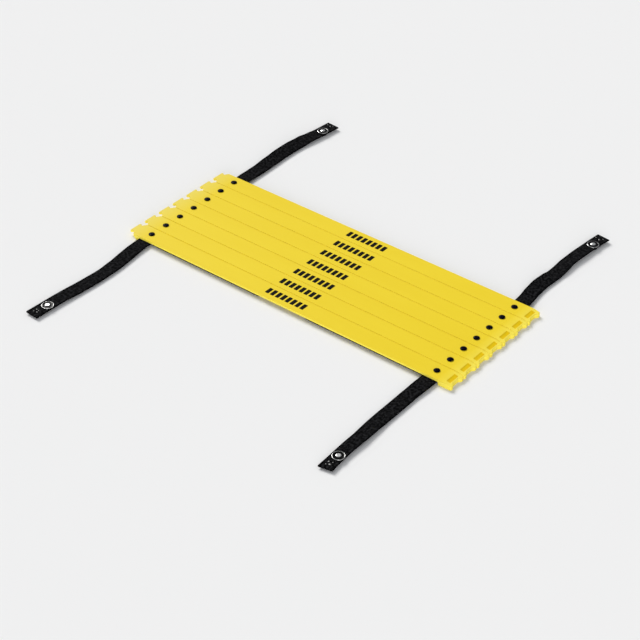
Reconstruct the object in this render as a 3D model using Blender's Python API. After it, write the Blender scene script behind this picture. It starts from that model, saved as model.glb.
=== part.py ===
"""Agility ladder, packed flat: seven moulded rungs riveted to two webbing straps.

Metres, +Z up. X runs along the rungs from their tab end to their slotted end, +Y points to the
back of the pack, and the origin lies on the floor under the middle of the pack.
Each strap lies under the rungs. The run of webbing between two rungs is folded flat beside the
strap, under the outer of the two rungs, and pays out when the ladder is laid out.
"""

import math

import bmesh
import bpy
from mathutils import Vector

# Rungs; the end length is each end of a rung beyond the channel that the webbing lies in
RUNG_COUNT = 7
RUNG_LENGTH = 0.4850
END_LENGTH = 0.0176
RUNG_WIDTH = 0.0251
RUNG_GAP = 0.0003
PLATE_THICKNESS = 0.0030
FOOT_HEIGHT = 0.0040
TOP_EDGE_RADIUS = 0.0007
FOOT_ROOT_RADIUS = 0.0012

# Left end of a rung: a thin tab with a hook at each corner, beyond a foot with a slanted back
LEFT_FOOT_WIDTH = 0.0045
FOOT_SLOPE_RUN = 0.0036
NECK_LENGTH = 0.0014
TAB_NECK_INSET = 0.0050
TAB_TIP_INSET = 0.0036
HOOK_LENGTH = 0.0026
HOOK_SLOPE_RUN = 0.0010
TAB_THICKNESS = 0.0026
TAB_CORNER_RADIUS = 0.0010

# Right end of a rung: a cored foot with a blind slot, and a lip with a horn at each corner
HORN_REACH = 0.0028
HORN_CORNER_RADIUS = 0.0024
SCALLOP_FLAT_SHARE = 0.36
SCALLOP_TOP_SHARE = 0.70
LIP_THICKNESS = 0.0022
LIP_DROP = 0.0020
SLOT_LENGTH = 0.0050
SLOT_WIDTH = 0.0154
SLOT_CORNER_RADIUS = 0.0012
SLOT_FLOOR = 0.0012
SKIRT_WALL = 0.0024

# Webbing straps; the squares of the laid-out ladder keep their proportions, and two ladders joined
# by their tails keep the same spacing, so a run is a share of the rung and a tail is half a run
RUN_SHARE = 0.7856
TAIL_SHARE = 0.50
WEBBING_WIDTH = 0.0198
WEBBING_THICKNESS = 0.0010
CHANNEL_CLEARANCE = 0.0005
FIT_GAP = 0.0003
FOLD_GAP = 0.0004
HEM_LENGTH = 0.0400
FLOOR_GAP = 0.0002

# Rivets
RIVET_HEAD_DIAMETER = 0.0072
RIVET_HEAD_HEIGHT = 0.0013
RIVET_HEAD_EDGE = 0.0003
RIVET_SHANK_DIAMETER = 0.0035
RIVET_TAIL_DIAMETER = 0.0064
RIVET_TAIL_THICKNESS = 0.0008
RIVET_TAIL_CHAMFER = 0.0003
RIVET_CLEARANCE = 0.0003

# Press studs, 15 mm size: a male stud on its post in front, a socket under its cap at the back
STUD_FROM_TIP = 0.0235
SOCKET_FROM_TIP = 0.0212
STUD_DIAMETER = 0.0150
STUD_RIM_WIDTH = 0.0010
STUD_RIM_HEIGHT = 0.0010
STUD_WEB_THICKNESS = 0.0006
BALL_DIAMETER = 0.0064
BALL_NECK_DIAMETER = 0.0056
BALL_HEIGHT = 0.0032
BALL_WIDEST_SHARE = 0.62
BALL_CROWN_SHARE = 0.72
BALL_SHOULDER_SHARE = 0.92
FLANGE_DIAMETER = 0.0130
FLANGE_THICKNESS = 0.0009
POST_DIAMETER = 0.0034
POST_REACH = 0.0006
POST_CLEARANCE = 0.0003
CAP_DIAMETER = 0.0150
CAP_EDGE = 0.0006
CAP_DOME = 0.0012
SOCKET_DIAMETER = 0.0126
SOCKET_HEIGHT = 0.0024
SOCKET_EDGE = 0.0005
SOCKET_MOUTH_DIAMETER = 0.0070
SOCKET_MOUTH_DEPTH = 0.0010

# Facets and cutters
ARC_STEPS = 3
EDGE_STEPS = 2
SHOULDER_STEPS = 4
ROUND_SEGMENTS = 14
STUD_SEGMENTS = 16
HOLE_SEGMENTS = 12
DOME_ANGLES = (0, 35, 62, 90)
TAIL_STEPS = 22
HEM_STEPS = 3
FOLD_STEPS = 4
OVERRUN = 0.0010
MERGE_DISTANCE = 0.000001
SMOOTH_ANGLE_DEG = 35

# Lie of the four free tails, each point as (share of the tail from the rung to the tip, sideways
# place from the strap's line, roll in degrees that lifts the left edge). The hem lies level.
TAIL_ROUTES = {
    "back_left": (
        (0.00, 0.0000, 0),
        (0.08, 0.0006, 3),
        (0.18, -0.0002, 6),
        (0.32, -0.0010, 11),
        (0.46, -0.0017, 15),
        (0.57, -0.0014, 15),
        (0.68, 0.0024, 6),
        (0.77, 0.0048, 0),
        (0.90, 0.0064, 0),
        (1.00, 0.0070, 0),
    ),
    "back_right": (
        (0.00, 0.0000, 0),
        (0.08, -0.0008, 0),
        (0.18, -0.0038, 5),
        (0.27, -0.0047, 8),
        (0.36, -0.0040, 6),
        (0.44, -0.0033, 0),
        (0.52, -0.0037, -4),
        (0.60, -0.0035, -6),
        (0.68, -0.0014, -3),
        (0.77, 0.0002, 0),
        (0.90, 0.0018, 0),
        (1.00, 0.0028, 0),
    ),
    "front_left": (
        (0.00, 0.0000, 0),
        (0.06, 0.0012, 1),
        (0.12, 0.0025, 4),
        (0.20, 0.0036, 5),
        (0.30, 0.0058, 3),
        (0.42, 0.0068, 0),
        (0.54, 0.0069, 2),
        (0.66, 0.0064, 3),
        (0.78, 0.0059, 0),
        (0.90, 0.0051, 0),
        (1.00, 0.0043, 0),
    ),
    "front_right": (
        (0.00, 0.0000, 0),
        (0.09, 0.0002, 3),
        (0.18, -0.0014, 0),
        (0.32, -0.0014, 0),
        (0.46, -0.0012, 0),
        (0.58, -0.0004, -3),
        (0.68, 0.0012, -4),
        (0.78, 0.0026, 0),
        (0.90, 0.0036, 0),
        (1.00, 0.0046, 0),
    ),
}
TAIL_REACH_SHARES = {
    "back_left": 0.965,
    "back_right": 0.943,
    "front_left": 1.000,
    "front_right": 0.980,
}
TAIL_DROP_SHARE = 0.22
TAIL_CLIMB_SHARE = 0.16

# Sizes and places worked out from the sizes above
PITCH = RUNG_WIDTH + RUNG_GAP
HALF_WIDTH = RUNG_WIDTH / 2
MIDDLE_RUNG = (RUNG_COUNT + 1) // 2
RUNG_TOP = FOOT_HEIGHT + PLATE_THICKNESS
LEFT_TIP_X = -RUNG_LENGTH / 2
RIGHT_TIP_X = RUNG_LENGTH / 2
RUN_LENGTH = RUNG_LENGTH * RUN_SHARE
TAIL_LENGTH = RUN_LENGTH * TAIL_SHARE
HALF_WEBBING = WEBBING_WIDTH / 2
FOOT_INNER_X = RIGHT_TIP_X - END_LENGTH
STRAP_X = FOOT_INNER_X - CHANNEL_CLEARANCE - HALF_WEBBING
LEFT_FOOT_X = -FOOT_INNER_X - LEFT_FOOT_WIDTH
SHOULDER_END_X = LEFT_FOOT_X - FOOT_SLOPE_RUN
NECK_X = LEFT_TIP_X + HOOK_LENGTH + HOOK_SLOPE_RUN + NECK_LENGTH
SLOT_END_X = RIGHT_TIP_X - HORN_REACH - LIP_THICKNESS
SLOT_START_X = SLOT_END_X - SLOT_LENGTH
STRAP_TOP = FOOT_HEIGHT - FIT_GAP
STRAP_UNDERSIDE = STRAP_TOP - WEBBING_THICKNESS
LAYER_PITCH = WEBBING_THICKNESS + FOLD_GAP
HEM_THICKNESS = LAYER_PITCH + WEBBING_THICKNESS
PACK_HALF_DEPTH = PITCH * (RUNG_COUNT - 1) / 2 + HALF_WIDTH
POST_HOLE_RADIUS = POST_DIAMETER / 2 + POST_CLEARANCE
POST_CAVITY_DEPTH = POST_REACH + POST_CLEARANCE
SIDES = (("left", -1), ("right", 1))
ENDS = (("back", 1), ("front", -1))


def clear_scene():
    """Removes every object that the file starts with."""
    for item in list(bpy.data.objects):
        bpy.data.objects.remove(item, do_unlink=True)


def make_material(name, colour, roughness, metallic=0.0):
    """Returns a Principled material."""
    material = bpy.data.materials.new(name)
    material.use_nodes = True
    shader = material.node_tree.nodes["Principled BSDF"]
    shader.inputs["Base Color"].default_value = (*colour, 1)
    shader.inputs["Roughness"].default_value = roughness
    shader.inputs["Metallic"].default_value = metallic
    return material


def mesh_from(name, shape):
    """Turns a bmesh into a mesh whose faces point out."""
    bmesh.ops.recalc_face_normals(shape, faces=shape.faces)
    mesh = bpy.data.meshes.new(name)
    shape.to_mesh(mesh)
    shape.free()
    soften(mesh)
    return mesh


def soften(mesh):
    """Shades a mesh smooth up to the sharp edges."""
    mesh.shade_smooth()
    mesh.set_sharp_from_angle(angle=math.radians(SMOOTH_ANGLE_DEG))


def add_object(name, mesh, material=None, location=(0, 0, 0)):
    """Adds one object at a place, with its own copy of the mesh where it gets a material."""
    shown = mesh.copy() if material else mesh
    item = bpy.data.objects.new(name, shown)
    item.location = location
    bpy.context.scene.collection.objects.link(item)
    if material:
        shown.materials.append(material)
    return item


def cut_mesh(name, mesh, cutters):
    """Cuts solids out of a mesh, one after another, and returns the finished mesh."""
    item = add_object(name, mesh)
    tools = [add_object(f"{name}_cutter_{number}", cutter) for number, cutter in enumerate(cutters)]
    for tool in tools:
        tool.hide_render = True
        tool.display_type = "WIRE"
        cut = item.modifiers.new(tool.name, "BOOLEAN")
        cut.operation = "DIFFERENCE"
        cut.solver = "EXACT"
        cut.object = tool
    graph = bpy.context.evaluated_depsgraph_get()
    finished = bpy.data.meshes.new_from_object(item.evaluated_get(graph))
    finished.name = name
    soften(finished)
    for spare in [item, *tools]:
        bpy.data.objects.remove(spare, do_unlink=True)
    return finished


def smooth_share(share):
    """Eases a share from 0 to 1, flat at both ends."""
    return share * share * (3 - 2 * share)


def arc(centre, radius, start_deg, end_deg, steps=ARC_STEPS):
    """Returns points on an arc, both ends included."""
    points = []
    for step in range(steps + 1):
        angle = math.radians(start_deg + (end_deg - start_deg) * step / steps)
        points.append((centre[0] + radius * math.cos(angle), centre[1] + radius * math.sin(angle)))
    return points


def rounded_box(low_x, high_x, half_y, radius):
    """Returns a rectangle with round corners, anticlockwise."""
    corners = (
        (high_x - radius, radius - half_y, -90),
        (high_x - radius, half_y - radius, 0),
        (low_x + radius, half_y - radius, 90),
        (low_x + radius, radius - half_y, 180),
    )
    points = []
    for x, y, start in corners:
        points += arc((x, y), radius, start, start + 90)
    return points


def upright(a, b, depth):
    """Places an outline seen from above, with its depth along Z."""
    return (a, b, depth)


def sideways(a, b, depth):
    """Places an outline seen from the front, with its depth along Y."""
    return (a, depth, b)


def prism(outline, low, high, place):
    """Extrudes a flat outline; place turns (first, second, depth) into a point."""
    shape = bmesh.new()
    base = shape.faces.new([shape.verts.new(place(a, b, low)) for a, b in outline])
    raised = bmesh.ops.extrude_face_region(shape, geom=[base])["geom"]
    shift = Vector(place(0, 0, high)) - Vector(place(0, 0, low))
    moved = [part for part in raised if isinstance(part, bmesh.types.BMVert)]
    bmesh.ops.translate(shape, vec=shift, verts=moved)
    return shape


def lathe(name, profile, segments):
    """Spins a profile of (radius, height) points about Z into a closed solid."""
    shape = bmesh.new()
    verts = [shape.verts.new((radius, 0, height)) for radius, height in profile]
    edges = [shape.edges.new(pair) for pair in zip(verts, verts[1:])]
    bmesh.ops.spin(
        shape,
        geom=verts + edges,
        cent=(0, 0, 0),
        axis=(0, 0, 1),
        angle=2 * math.pi,
        steps=segments,
        use_merge=True,
    )
    bmesh.ops.remove_doubles(shape, verts=shape.verts, dist=MERGE_DISTANCE)
    return mesh_from(name, shape)


def dome(radius, base, height):
    """Returns the profile of a dome, from the axis to the edge."""
    points = []
    for degrees in DOME_ANGLES:
        angle = math.radians(degrees)
        points.append((radius * math.sin(angle), base + height * math.cos(angle)))
    return points


def hole_cutter(radius, x, y, low, high):
    """Returns an upright round cutter."""
    points = arc((x, y), radius, 0, 360, HOLE_SEGMENTS)[:-1]
    return mesh_from("hole_cutter", prism(points, low, high, upright))


def left_end_profile():
    """Returns (x, inset) points of the tab and shoulder, from the tip inwards."""
    tip_centre = (LEFT_TIP_X + TAB_CORNER_RADIUS, TAB_TIP_INSET + TAB_CORNER_RADIUS)
    points = arc(tip_centre, TAB_CORNER_RADIUS, 180, 270)
    hook_x = LEFT_TIP_X + HOOK_LENGTH
    points += [(hook_x, TAB_TIP_INSET), (hook_x + HOOK_SLOPE_RUN, TAB_NECK_INSET)]
    run = SHOULDER_END_X - NECK_X
    for step in range(SHOULDER_STEPS + 1):
        share = step / SHOULDER_STEPS
        points.append((NECK_X + run * share, TAB_NECK_INSET * (1 - smooth_share(share))))
    return points


def right_end_profile():
    """Returns (x, inset) points of one horn, from the long side to the flat of the scallop."""
    corner_centre = (RIGHT_TIP_X - HORN_CORNER_RADIUS, HORN_CORNER_RADIUS)
    points = arc(corner_centre, HORN_CORNER_RADIUS, -90, 0)
    top_inset = HALF_WIDTH * (1 - SCALLOP_TOP_SHARE)
    run = HALF_WIDTH * (SCALLOP_TOP_SHARE - SCALLOP_FLAT_SHARE)
    for step in range(SHOULDER_STEPS + 1):
        share = step / SHOULDER_STEPS
        points.append((RIGHT_TIP_X - HORN_REACH * smooth_share(share), top_inset + run * share))
    return points


def rung_outline():
    """Returns the plan of a rung, anticlockwise seen from above."""
    front = [(x, inset - HALF_WIDTH) for x, inset in left_end_profile() + right_end_profile()]
    back = [(x, -y) for x, y in reversed(front)]
    return front + back


def rung_blank():
    """Returns the full-height rung with its top edge rounded."""
    shape = prism(rung_outline(), 0, RUNG_TOP - TOP_EDGE_RADIUS, upright)
    top = max(shape.faces, key=lambda face: face.calc_center_median().z)
    inwards, upwards = 0, 0
    for step in range(1, EDGE_STEPS + 1):
        angle = math.pi / 2 * step / EDGE_STEPS
        next_in = TOP_EDGE_RADIUS * (1 - math.cos(angle))
        next_up = TOP_EDGE_RADIUS * math.sin(angle)
        bmesh.ops.inset_region(
            shape, faces=[top], thickness=next_in - inwards, use_even_offset=True
        )
        bmesh.ops.translate(shape, verts=top.verts, vec=(0, 0, next_up - upwards))
        inwards, upwards = next_in, next_up
    return mesh_from("rung_blank", shape)


def rung_cutters():
    """Returns the cutters of one rung, in the order in which they cut."""
    side = HALF_WIDTH + OVERRUN
    radius = FOOT_ROOT_RADIUS
    span = [(-FOOT_INNER_X, -OVERRUN), (FOOT_INNER_X, -OVERRUN)]
    span += arc((FOOT_INNER_X - radius, FOOT_HEIGHT - radius), radius, 0, 90)
    span += arc((radius - FOOT_INNER_X, FOOT_HEIGHT - radius), radius, 90, 180)

    tab_underside = RUNG_TOP - TAB_THICKNESS
    slant = FOOT_SLOPE_RUN / (tab_underside - radius)
    under_tab = [(LEFT_TIP_X - OVERRUN, -OVERRUN), (LEFT_FOOT_X + slant * OVERRUN, -OVERRUN)]
    under_tab += arc((SHOULDER_END_X - radius, tab_underside - radius), radius, 0, 90)
    under_tab += [(LEFT_TIP_X - OVERRUN, tab_underside)]

    slope = LIP_DROP / (RIGHT_TIP_X - SLOT_START_X)
    inside = SLOT_START_X - OVERRUN
    beyond = RIGHT_TIP_X + OVERRUN
    clear = RUNG_TOP + OVERRUN
    ramp = [
        (inside, RUNG_TOP + slope * OVERRUN),
        (beyond, RUNG_TOP - slope * (beyond - SLOT_START_X)),
        (beyond, clear),
        (inside, clear),
    ]

    core_half = HALF_WIDTH - SKIRT_WALL
    core_start = FOOT_INNER_X + SKIRT_WALL
    core = rounded_box(core_start, SLOT_END_X, core_half, SLOT_CORNER_RADIUS)
    slot = rounded_box(SLOT_START_X, SLOT_END_X, SLOT_WIDTH / 2, SLOT_CORNER_RADIUS)
    cutters = [
        mesh_from("span_cutter", prism(span, -side, side, sideways)),
        mesh_from("tab_cutter", prism(under_tab, -side, side, sideways)),
        mesh_from("ramp_cutter", prism(ramp, -side, side, sideways)),
        mesh_from("core_cutter", prism(core, -OVERRUN, FOOT_HEIGHT - SLOT_FLOOR, upright)),
        mesh_from("slot_cutter", prism(slot, FOOT_HEIGHT, clear, upright)),
    ]
    hole = RIVET_SHANK_DIAMETER / 2 + RIVET_CLEARANCE
    for _, sign_x in SIDES:
        cutters.append(hole_cutter(hole, sign_x * STRAP_X, 0, FOOT_HEIGHT - OVERRUN, clear))
    return cutters


def rivet_mesh():
    """Returns a rivet about its own axis, with z at the height above the floor."""
    head = RUNG_TOP + FIT_GAP
    tail = STRAP_UNDERSIDE - FIT_GAP
    end = tail - RIVET_TAIL_THICKNESS
    head_radius = RIVET_HEAD_DIAMETER / 2
    tail_radius = RIVET_TAIL_DIAMETER / 2
    shank = RIVET_SHANK_DIAMETER / 2
    profile = dome(head_radius, head + RIVET_HEAD_EDGE, RIVET_HEAD_HEIGHT - RIVET_HEAD_EDGE)
    profile += [
        (head_radius, head),
        (shank, head),
        (shank, tail),
        (tail_radius, tail),
        (tail_radius, end + RIVET_TAIL_CHAMFER),
        (tail_radius - RIVET_TAIL_CHAMFER, end),
        (0, end),
    ]
    return lathe("rivet", profile, ROUND_SEGMENTS)


def stud_mesh(base):
    """Returns the male stud: a rimmed disc with a ball, hollow below for its post."""
    rim = STUD_DIAMETER / 2
    ball = BALL_DIAMETER / 2
    cavity = base + POST_CAVITY_DEPTH
    profile = [
        (0, base + BALL_HEIGHT),
        (ball * BALL_CROWN_SHARE, base + BALL_HEIGHT),
        (ball, base + BALL_HEIGHT * BALL_SHOULDER_SHARE),
        (ball, base + BALL_HEIGHT * BALL_WIDEST_SHARE),
        (BALL_NECK_DIAMETER / 2, base + STUD_WEB_THICKNESS),
        (rim - STUD_RIM_WIDTH, base + STUD_WEB_THICKNESS),
        (rim - STUD_RIM_WIDTH, base + STUD_RIM_HEIGHT),
        (rim, base + STUD_RIM_HEIGHT),
        (rim, base),
        (POST_HOLE_RADIUS, base),
        (POST_HOLE_RADIUS, cavity),
        (0, cavity),
    ]
    return lathe("stud", profile, STUD_SEGMENTS)


def post_mesh(top):
    """Returns the post under a front hem: a flange on the floor and a pin up into the stud."""
    flange_top = FLOOR_GAP + FLANGE_THICKNESS
    profile = [
        (0, top),
        (POST_DIAMETER / 2, top),
        (POST_DIAMETER / 2, flange_top),
        (FLANGE_DIAMETER / 2, flange_top),
        (FLANGE_DIAMETER / 2, FLOOR_GAP),
        (0, FLOOR_GAP),
    ]
    return lathe("post", profile, STUD_SEGMENTS)


def cap_mesh(base, low):
    """Returns the domed cap on a back hem, with its pin down into the socket."""
    profile = dome(CAP_DIAMETER / 2, base + CAP_EDGE, CAP_DOME)
    profile += [
        (CAP_DIAMETER / 2, base),
        (POST_DIAMETER / 2, base),
        (POST_DIAMETER / 2, low),
        (0, low),
    ]
    return lathe("cap", profile, STUD_SEGMENTS)


def socket_mesh():
    """Returns the socket under a back hem: a mouth below and a hole above for the pin."""
    top = FLOOR_GAP + SOCKET_HEIGHT
    radius = SOCKET_DIAMETER / 2
    mouth = SOCKET_MOUTH_DIAMETER / 2
    cavity = top - POST_CAVITY_DEPTH
    profile = [
        (0, cavity),
        (POST_HOLE_RADIUS, cavity),
        (POST_HOLE_RADIUS, top),
        (radius - SOCKET_EDGE, top),
        (radius, top - SOCKET_EDGE),
        (radius, FLOOR_GAP),
        (mouth, FLOOR_GAP),
        (mouth, FLOOR_GAP + SOCKET_MOUTH_DEPTH),
        (0, FLOOR_GAP + SOCKET_MOUTH_DEPTH),
    ]
    return lathe("socket", profile, STUD_SEGMENTS)


def ribbon(name, stations, cutters=()):
    """Sweeps the webbing's section through stations of (centre, across, normal)."""
    shape = bmesh.new()
    rings = []
    for centre, across, normal in stations:
        side = across * HALF_WEBBING
        rise = normal * (WEBBING_THICKNESS / 2)
        corners = (side + rise, rise - side, -side - rise, side - rise)
        rings.append([shape.verts.new(centre + corner) for corner in corners])
    for ring, following in zip(rings, rings[1:]):
        for near in range(4):
            far = (near + 1) % 4
            shape.faces.new((ring[near], ring[far], following[far], following[near]))
    shape.faces.new(rings[0])
    shape.faces.new(reversed(rings[-1]))
    mesh = mesh_from(name, shape)
    return cut_mesh(name, mesh, cutters) if cutters else mesh


def folded_back(stations, count):
    """Adds a tight fold and a layer that returns under the last stations, count of them."""
    centre, across, normal = stations[-1]
    forward = across.cross(normal)
    if forward.dot(centre - stations[-2][0]) < 0:
        forward = -forward
    radius = LAYER_PITCH / 2
    folded = list(stations)
    for step in range(1, FOLD_STEPS):
        angle = math.pi * step / FOLD_STEPS
        turned = forward * math.sin(angle) + normal * math.cos(angle)
        folded.append((centre - normal * radius + turned * radius, across, turned))
    for place, side, up in reversed(stations[-count:]):
        folded.append((place - up * LAYER_PITCH, side, -up))
    return folded


def route_span(route, share):
    """Finds the stretch of a route that holds a share, and how far along it the share is."""
    number = 0
    while number < len(route) - 2 and share > route[number + 1][0]:
        number += 1
    start, end = route[number][0], route[number + 1][0]
    return number, (share - start) / (end - start)


def route_roll(route, share):
    """Reads the roll of a route at a share, in radians, level at each of its points."""
    number, here = route_span(route, share)
    start, end = route[number][2], route[number + 1][2]
    return math.radians(start + (end - start) * smooth_share(here))


def route_sway(route, share):
    """Reads the sideways place of a route at a share, on a smooth curve through its points."""
    number, here = route_span(route, share)
    before = route[max(number - 1, 0)]
    start, end = route[number], route[number + 1]
    after = route[min(number + 2, len(route) - 1)]
    run = end[0] - start[0]
    start_slope = run * (end[1] - before[1]) / (end[0] - before[0])
    end_slope = run * (after[1] - start[1]) / (after[0] - start[0])
    cube, square = here**3, here**2
    return (
        (2 * cube - 3 * square + 1) * start[1]
        + (cube - 2 * square + here) * start_slope
        + (3 * square - 2 * cube) * end[1]
        + (cube - square) * end_slope
    )


def hem_underside(sign_y):
    """Returns the height of a hem's underside, which lies on its press stud's lower half."""
    fitting = SOCKET_HEIGHT if sign_y > 0 else FLANGE_THICKNESS
    return FLOOR_GAP + fitting + FIT_GAP


def tail_reach(name):
    """Returns how far a tail reaches from its rung."""
    return TAIL_LENGTH * TAIL_REACH_SHARES[name]


def tail_centre(name, sign_x, sign_y, share):
    """Returns the middle of a tail at a share of its reach, before it rolls."""
    reach = tail_reach(name)
    half = WEBBING_THICKNESS / 2
    seat = STRAP_UNDERSIDE + half
    floor = FLOOR_GAP + half
    hem = hem_underside(sign_y) + LAYER_PITCH + half
    hem_share = 1 - HEM_LENGTH / reach
    climb = (share - hem_share) / TAIL_CLIMB_SHARE + 1
    if share < TAIL_DROP_SHARE:
        height = seat + (floor - seat) * smooth_share(share / TAIL_DROP_SHARE)
    else:
        height = floor + (hem - floor) * smooth_share(min(max(climb, 0), 1))
    x = sign_x * STRAP_X + route_sway(TAIL_ROUTES[name], share)
    return Vector((x, sign_y * (PACK_HALF_DEPTH + reach * share), height))


def tail_stations(name, sign_x, sign_y):
    """Returns the stations of one tail, from under its rung to the tip and back under the hem."""
    across, up = Vector((1, 0, 0)), Vector((0, 0, 1))
    seat = STRAP_UNDERSIDE + WEBBING_THICKNESS / 2
    inner_y = sign_y * (PACK_HALF_DEPTH - RUNG_WIDTH)
    stations = [(Vector((sign_x * STRAP_X, inner_y, seat)), across, up)]
    hem_share = 1 - HEM_LENGTH / tail_reach(name)
    shares = [hem_share * step / TAIL_STEPS for step in range(TAIL_STEPS + 1)]
    shares += [1 - (1 - hem_share) * (1 - step / HEM_STEPS) for step in range(1, HEM_STEPS + 1)]
    nudge = hem_share / TAIL_STEPS / 4
    for share in shares:
        ahead = tail_centre(name, sign_x, sign_y, min(share + nudge, 1))
        behind = tail_centre(name, sign_x, sign_y, max(share - nudge, 0))
        tangent = (ahead - behind).normalized()
        flat = Vector((tangent.y, -tangent.x, 0)).normalized() * sign_y
        rise = flat.cross(tangent) * sign_y
        roll = route_roll(TAIL_ROUTES[name], share)
        side = flat * math.cos(roll) - rise * math.sin(roll)
        normal = rise * math.cos(roll) + flat * math.sin(roll)
        lifted = tail_centre(name, sign_x, sign_y, share) + up * abs(math.sin(roll)) * HALF_WEBBING
        stations.append((lifted, side, normal))
    return folded_back(stations, HEM_STEPS + 1)


def slack_stations(sign_x, y):
    """Returns the stations of one slack run, folded once, from the strap's edge inwards."""
    across, up = Vector((0, 1, 0)), Vector((0, 0, 1))
    height = FLOOR_GAP + LAYER_PITCH + WEBBING_THICKNESS / 2
    outer = sign_x * (STRAP_X - HALF_WEBBING - FIT_GAP)
    inner = sign_x * (STRAP_X - (RUN_LENGTH - PITCH) / 2)
    stations = [(Vector((x, y, height)), across, up) for x in (outer, inner)]
    return folded_back(stations, len(stations))


def patch_mesh(x, y):
    """Returns the stretch of strap that is riveted under one rung."""
    across, up = Vector((1, 0, 0)), Vector((0, 0, 1))
    height = STRAP_UNDERSIDE + WEBBING_THICKNESS / 2
    ends = (y - HALF_WIDTH, y + HALF_WIDTH)
    stations = [(Vector((x, end, height)), across, up) for end in ends]
    return ribbon("strap_patch", stations, [strap_hole(x, y)])


def strap_hole(x, y):
    """Returns the cutter of a rivet's hole through the strap."""
    radius = RIVET_SHANK_DIAMETER / 2 + RIVET_CLEARANCE
    return hole_cutter(radius, x, y, STRAP_UNDERSIDE - OVERRUN, STRAP_TOP + OVERRUN)


def rung_y(number):
    """Returns the place of a rung's middle, counted from 1 at the back."""
    return PITCH * (MIDDLE_RUNG - number)


def add_rungs(plastic, rivet_nylon):
    """Adds the seven rungs and their rivets."""
    rung = cut_mesh("rung", rung_blank(), rung_cutters())
    rivet = rivet_mesh()
    for number in range(1, RUNG_COUNT + 1):
        y = rung_y(number)
        add_object(f"rung_{number}", rung, plastic, (0, y, 0))
        for side, sign_x in SIDES:
            add_object(f"rivet_{side}_{number}", rivet, rivet_nylon, (sign_x * STRAP_X, y, 0))


def add_straps(webbing):
    """Adds the stretches of strap under the inner rungs and the folded runs between rungs."""
    for side, sign_x in SIDES:
        for number in range(2, RUNG_COUNT):
            patch = patch_mesh(sign_x * STRAP_X, rung_y(number))
            add_object(f"{side}_strap_under_rung_{number}", patch, webbing)
        for number in range(1, RUNG_COUNT):
            outer_rung = number if number < MIDDLE_RUNG else number + 1
            slack = ribbon("slack", slack_stations(sign_x, rung_y(outer_rung)))
            add_object(f"{side}_slack_{number}_{number + 1}", slack, webbing)


def add_fittings(name, sign_y, place, nickel):
    """Adds the two halves of a press stud, above and below the hem."""
    top = hem_underside(sign_y) + HEM_THICKNESS + FIT_GAP
    if sign_y > 0:
        pin_end = FLOOR_GAP + SOCKET_HEIGHT - POST_REACH
        add_object(f"{name}_cap", cap_mesh(top, pin_end), nickel, place)
        add_object(f"{name}_socket", socket_mesh(), nickel, place)
    else:
        add_object(f"{name}_stud", stud_mesh(top), nickel, place)
        add_object(f"{name}_post", post_mesh(top + POST_REACH), nickel, place)


def add_tails(webbing, nickel):
    """Adds the four free tails, each with a press stud through its hem."""
    for end, sign_y in ENDS:
        for side, sign_x in SIDES:
            name = f"{end}_{side}"
            from_tip = SOCKET_FROM_TIP if sign_y > 0 else STUD_FROM_TIP
            fitting = tail_centre(name, sign_x, sign_y, 1 - from_tip / tail_reach(name))
            hem_top = hem_underside(sign_y) + HEM_THICKNESS + OVERRUN
            seat_y = sign_y * (PACK_HALF_DEPTH - HALF_WIDTH)
            cutters = [
                strap_hole(sign_x * STRAP_X, seat_y),
                hole_cutter(POST_HOLE_RADIUS, fitting.x, fitting.y, -OVERRUN, hem_top),
            ]
            tail = ribbon("tail", tail_stations(name, sign_x, sign_y), cutters)
            add_object(f"{name}_tail", tail, webbing)
            add_fittings(name, sign_y, (fitting.x, fitting.y, 0), nickel)


def build():
    """Builds the whole ladder."""
    clear_scene()
    add_rungs(
        make_material("yellow_plastic", (0.86, 0.67, 0.045), 0.42),
        make_material("black_nylon", (0.012, 0.012, 0.013), 0.45),
    )
    webbing = make_material("black_webbing", (0.010, 0.010, 0.011), 0.85)
    add_straps(webbing)
    add_tails(webbing, make_material("nickel", (0.72, 0.70, 0.66), 0.25, 1.0))


build()
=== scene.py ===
"""Agility ladder, packed flat: the dressed model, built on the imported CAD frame.

Metres, +Z up. X runs along the rungs from their tab end to their slotted end, +Y points to the
back of the pack, and the origin lies on the floor under the middle of the pack.
"""

import logging
import math
from dataclasses import dataclass
from enum import Enum
from typing import Sequence

import bmesh
import bpy
import numpy as np
from mathutils import Matrix, Vector


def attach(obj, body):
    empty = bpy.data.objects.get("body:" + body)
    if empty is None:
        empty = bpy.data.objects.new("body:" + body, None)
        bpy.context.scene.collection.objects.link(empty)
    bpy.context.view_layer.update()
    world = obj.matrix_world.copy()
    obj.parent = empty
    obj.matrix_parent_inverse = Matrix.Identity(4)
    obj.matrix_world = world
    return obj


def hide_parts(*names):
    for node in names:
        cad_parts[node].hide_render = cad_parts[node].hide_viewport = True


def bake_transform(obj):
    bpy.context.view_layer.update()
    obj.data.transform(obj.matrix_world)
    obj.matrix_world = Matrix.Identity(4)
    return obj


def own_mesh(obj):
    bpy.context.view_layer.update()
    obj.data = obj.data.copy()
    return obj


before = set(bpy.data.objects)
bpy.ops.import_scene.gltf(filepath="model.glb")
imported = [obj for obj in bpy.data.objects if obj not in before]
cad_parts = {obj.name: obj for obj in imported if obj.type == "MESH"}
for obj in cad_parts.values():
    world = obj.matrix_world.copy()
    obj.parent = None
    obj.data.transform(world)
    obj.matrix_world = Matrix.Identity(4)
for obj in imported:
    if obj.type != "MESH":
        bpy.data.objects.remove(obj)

Array = np.ndarray
Pair = tuple[float, float]
Triple = tuple[float, float, float]
Inputs = dict[str | int, object]
Mesh = bpy.types.Mesh
Material = bpy.types.Material
Tree = bpy.types.NodeTree
Piece = bpy.types.Object

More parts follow.
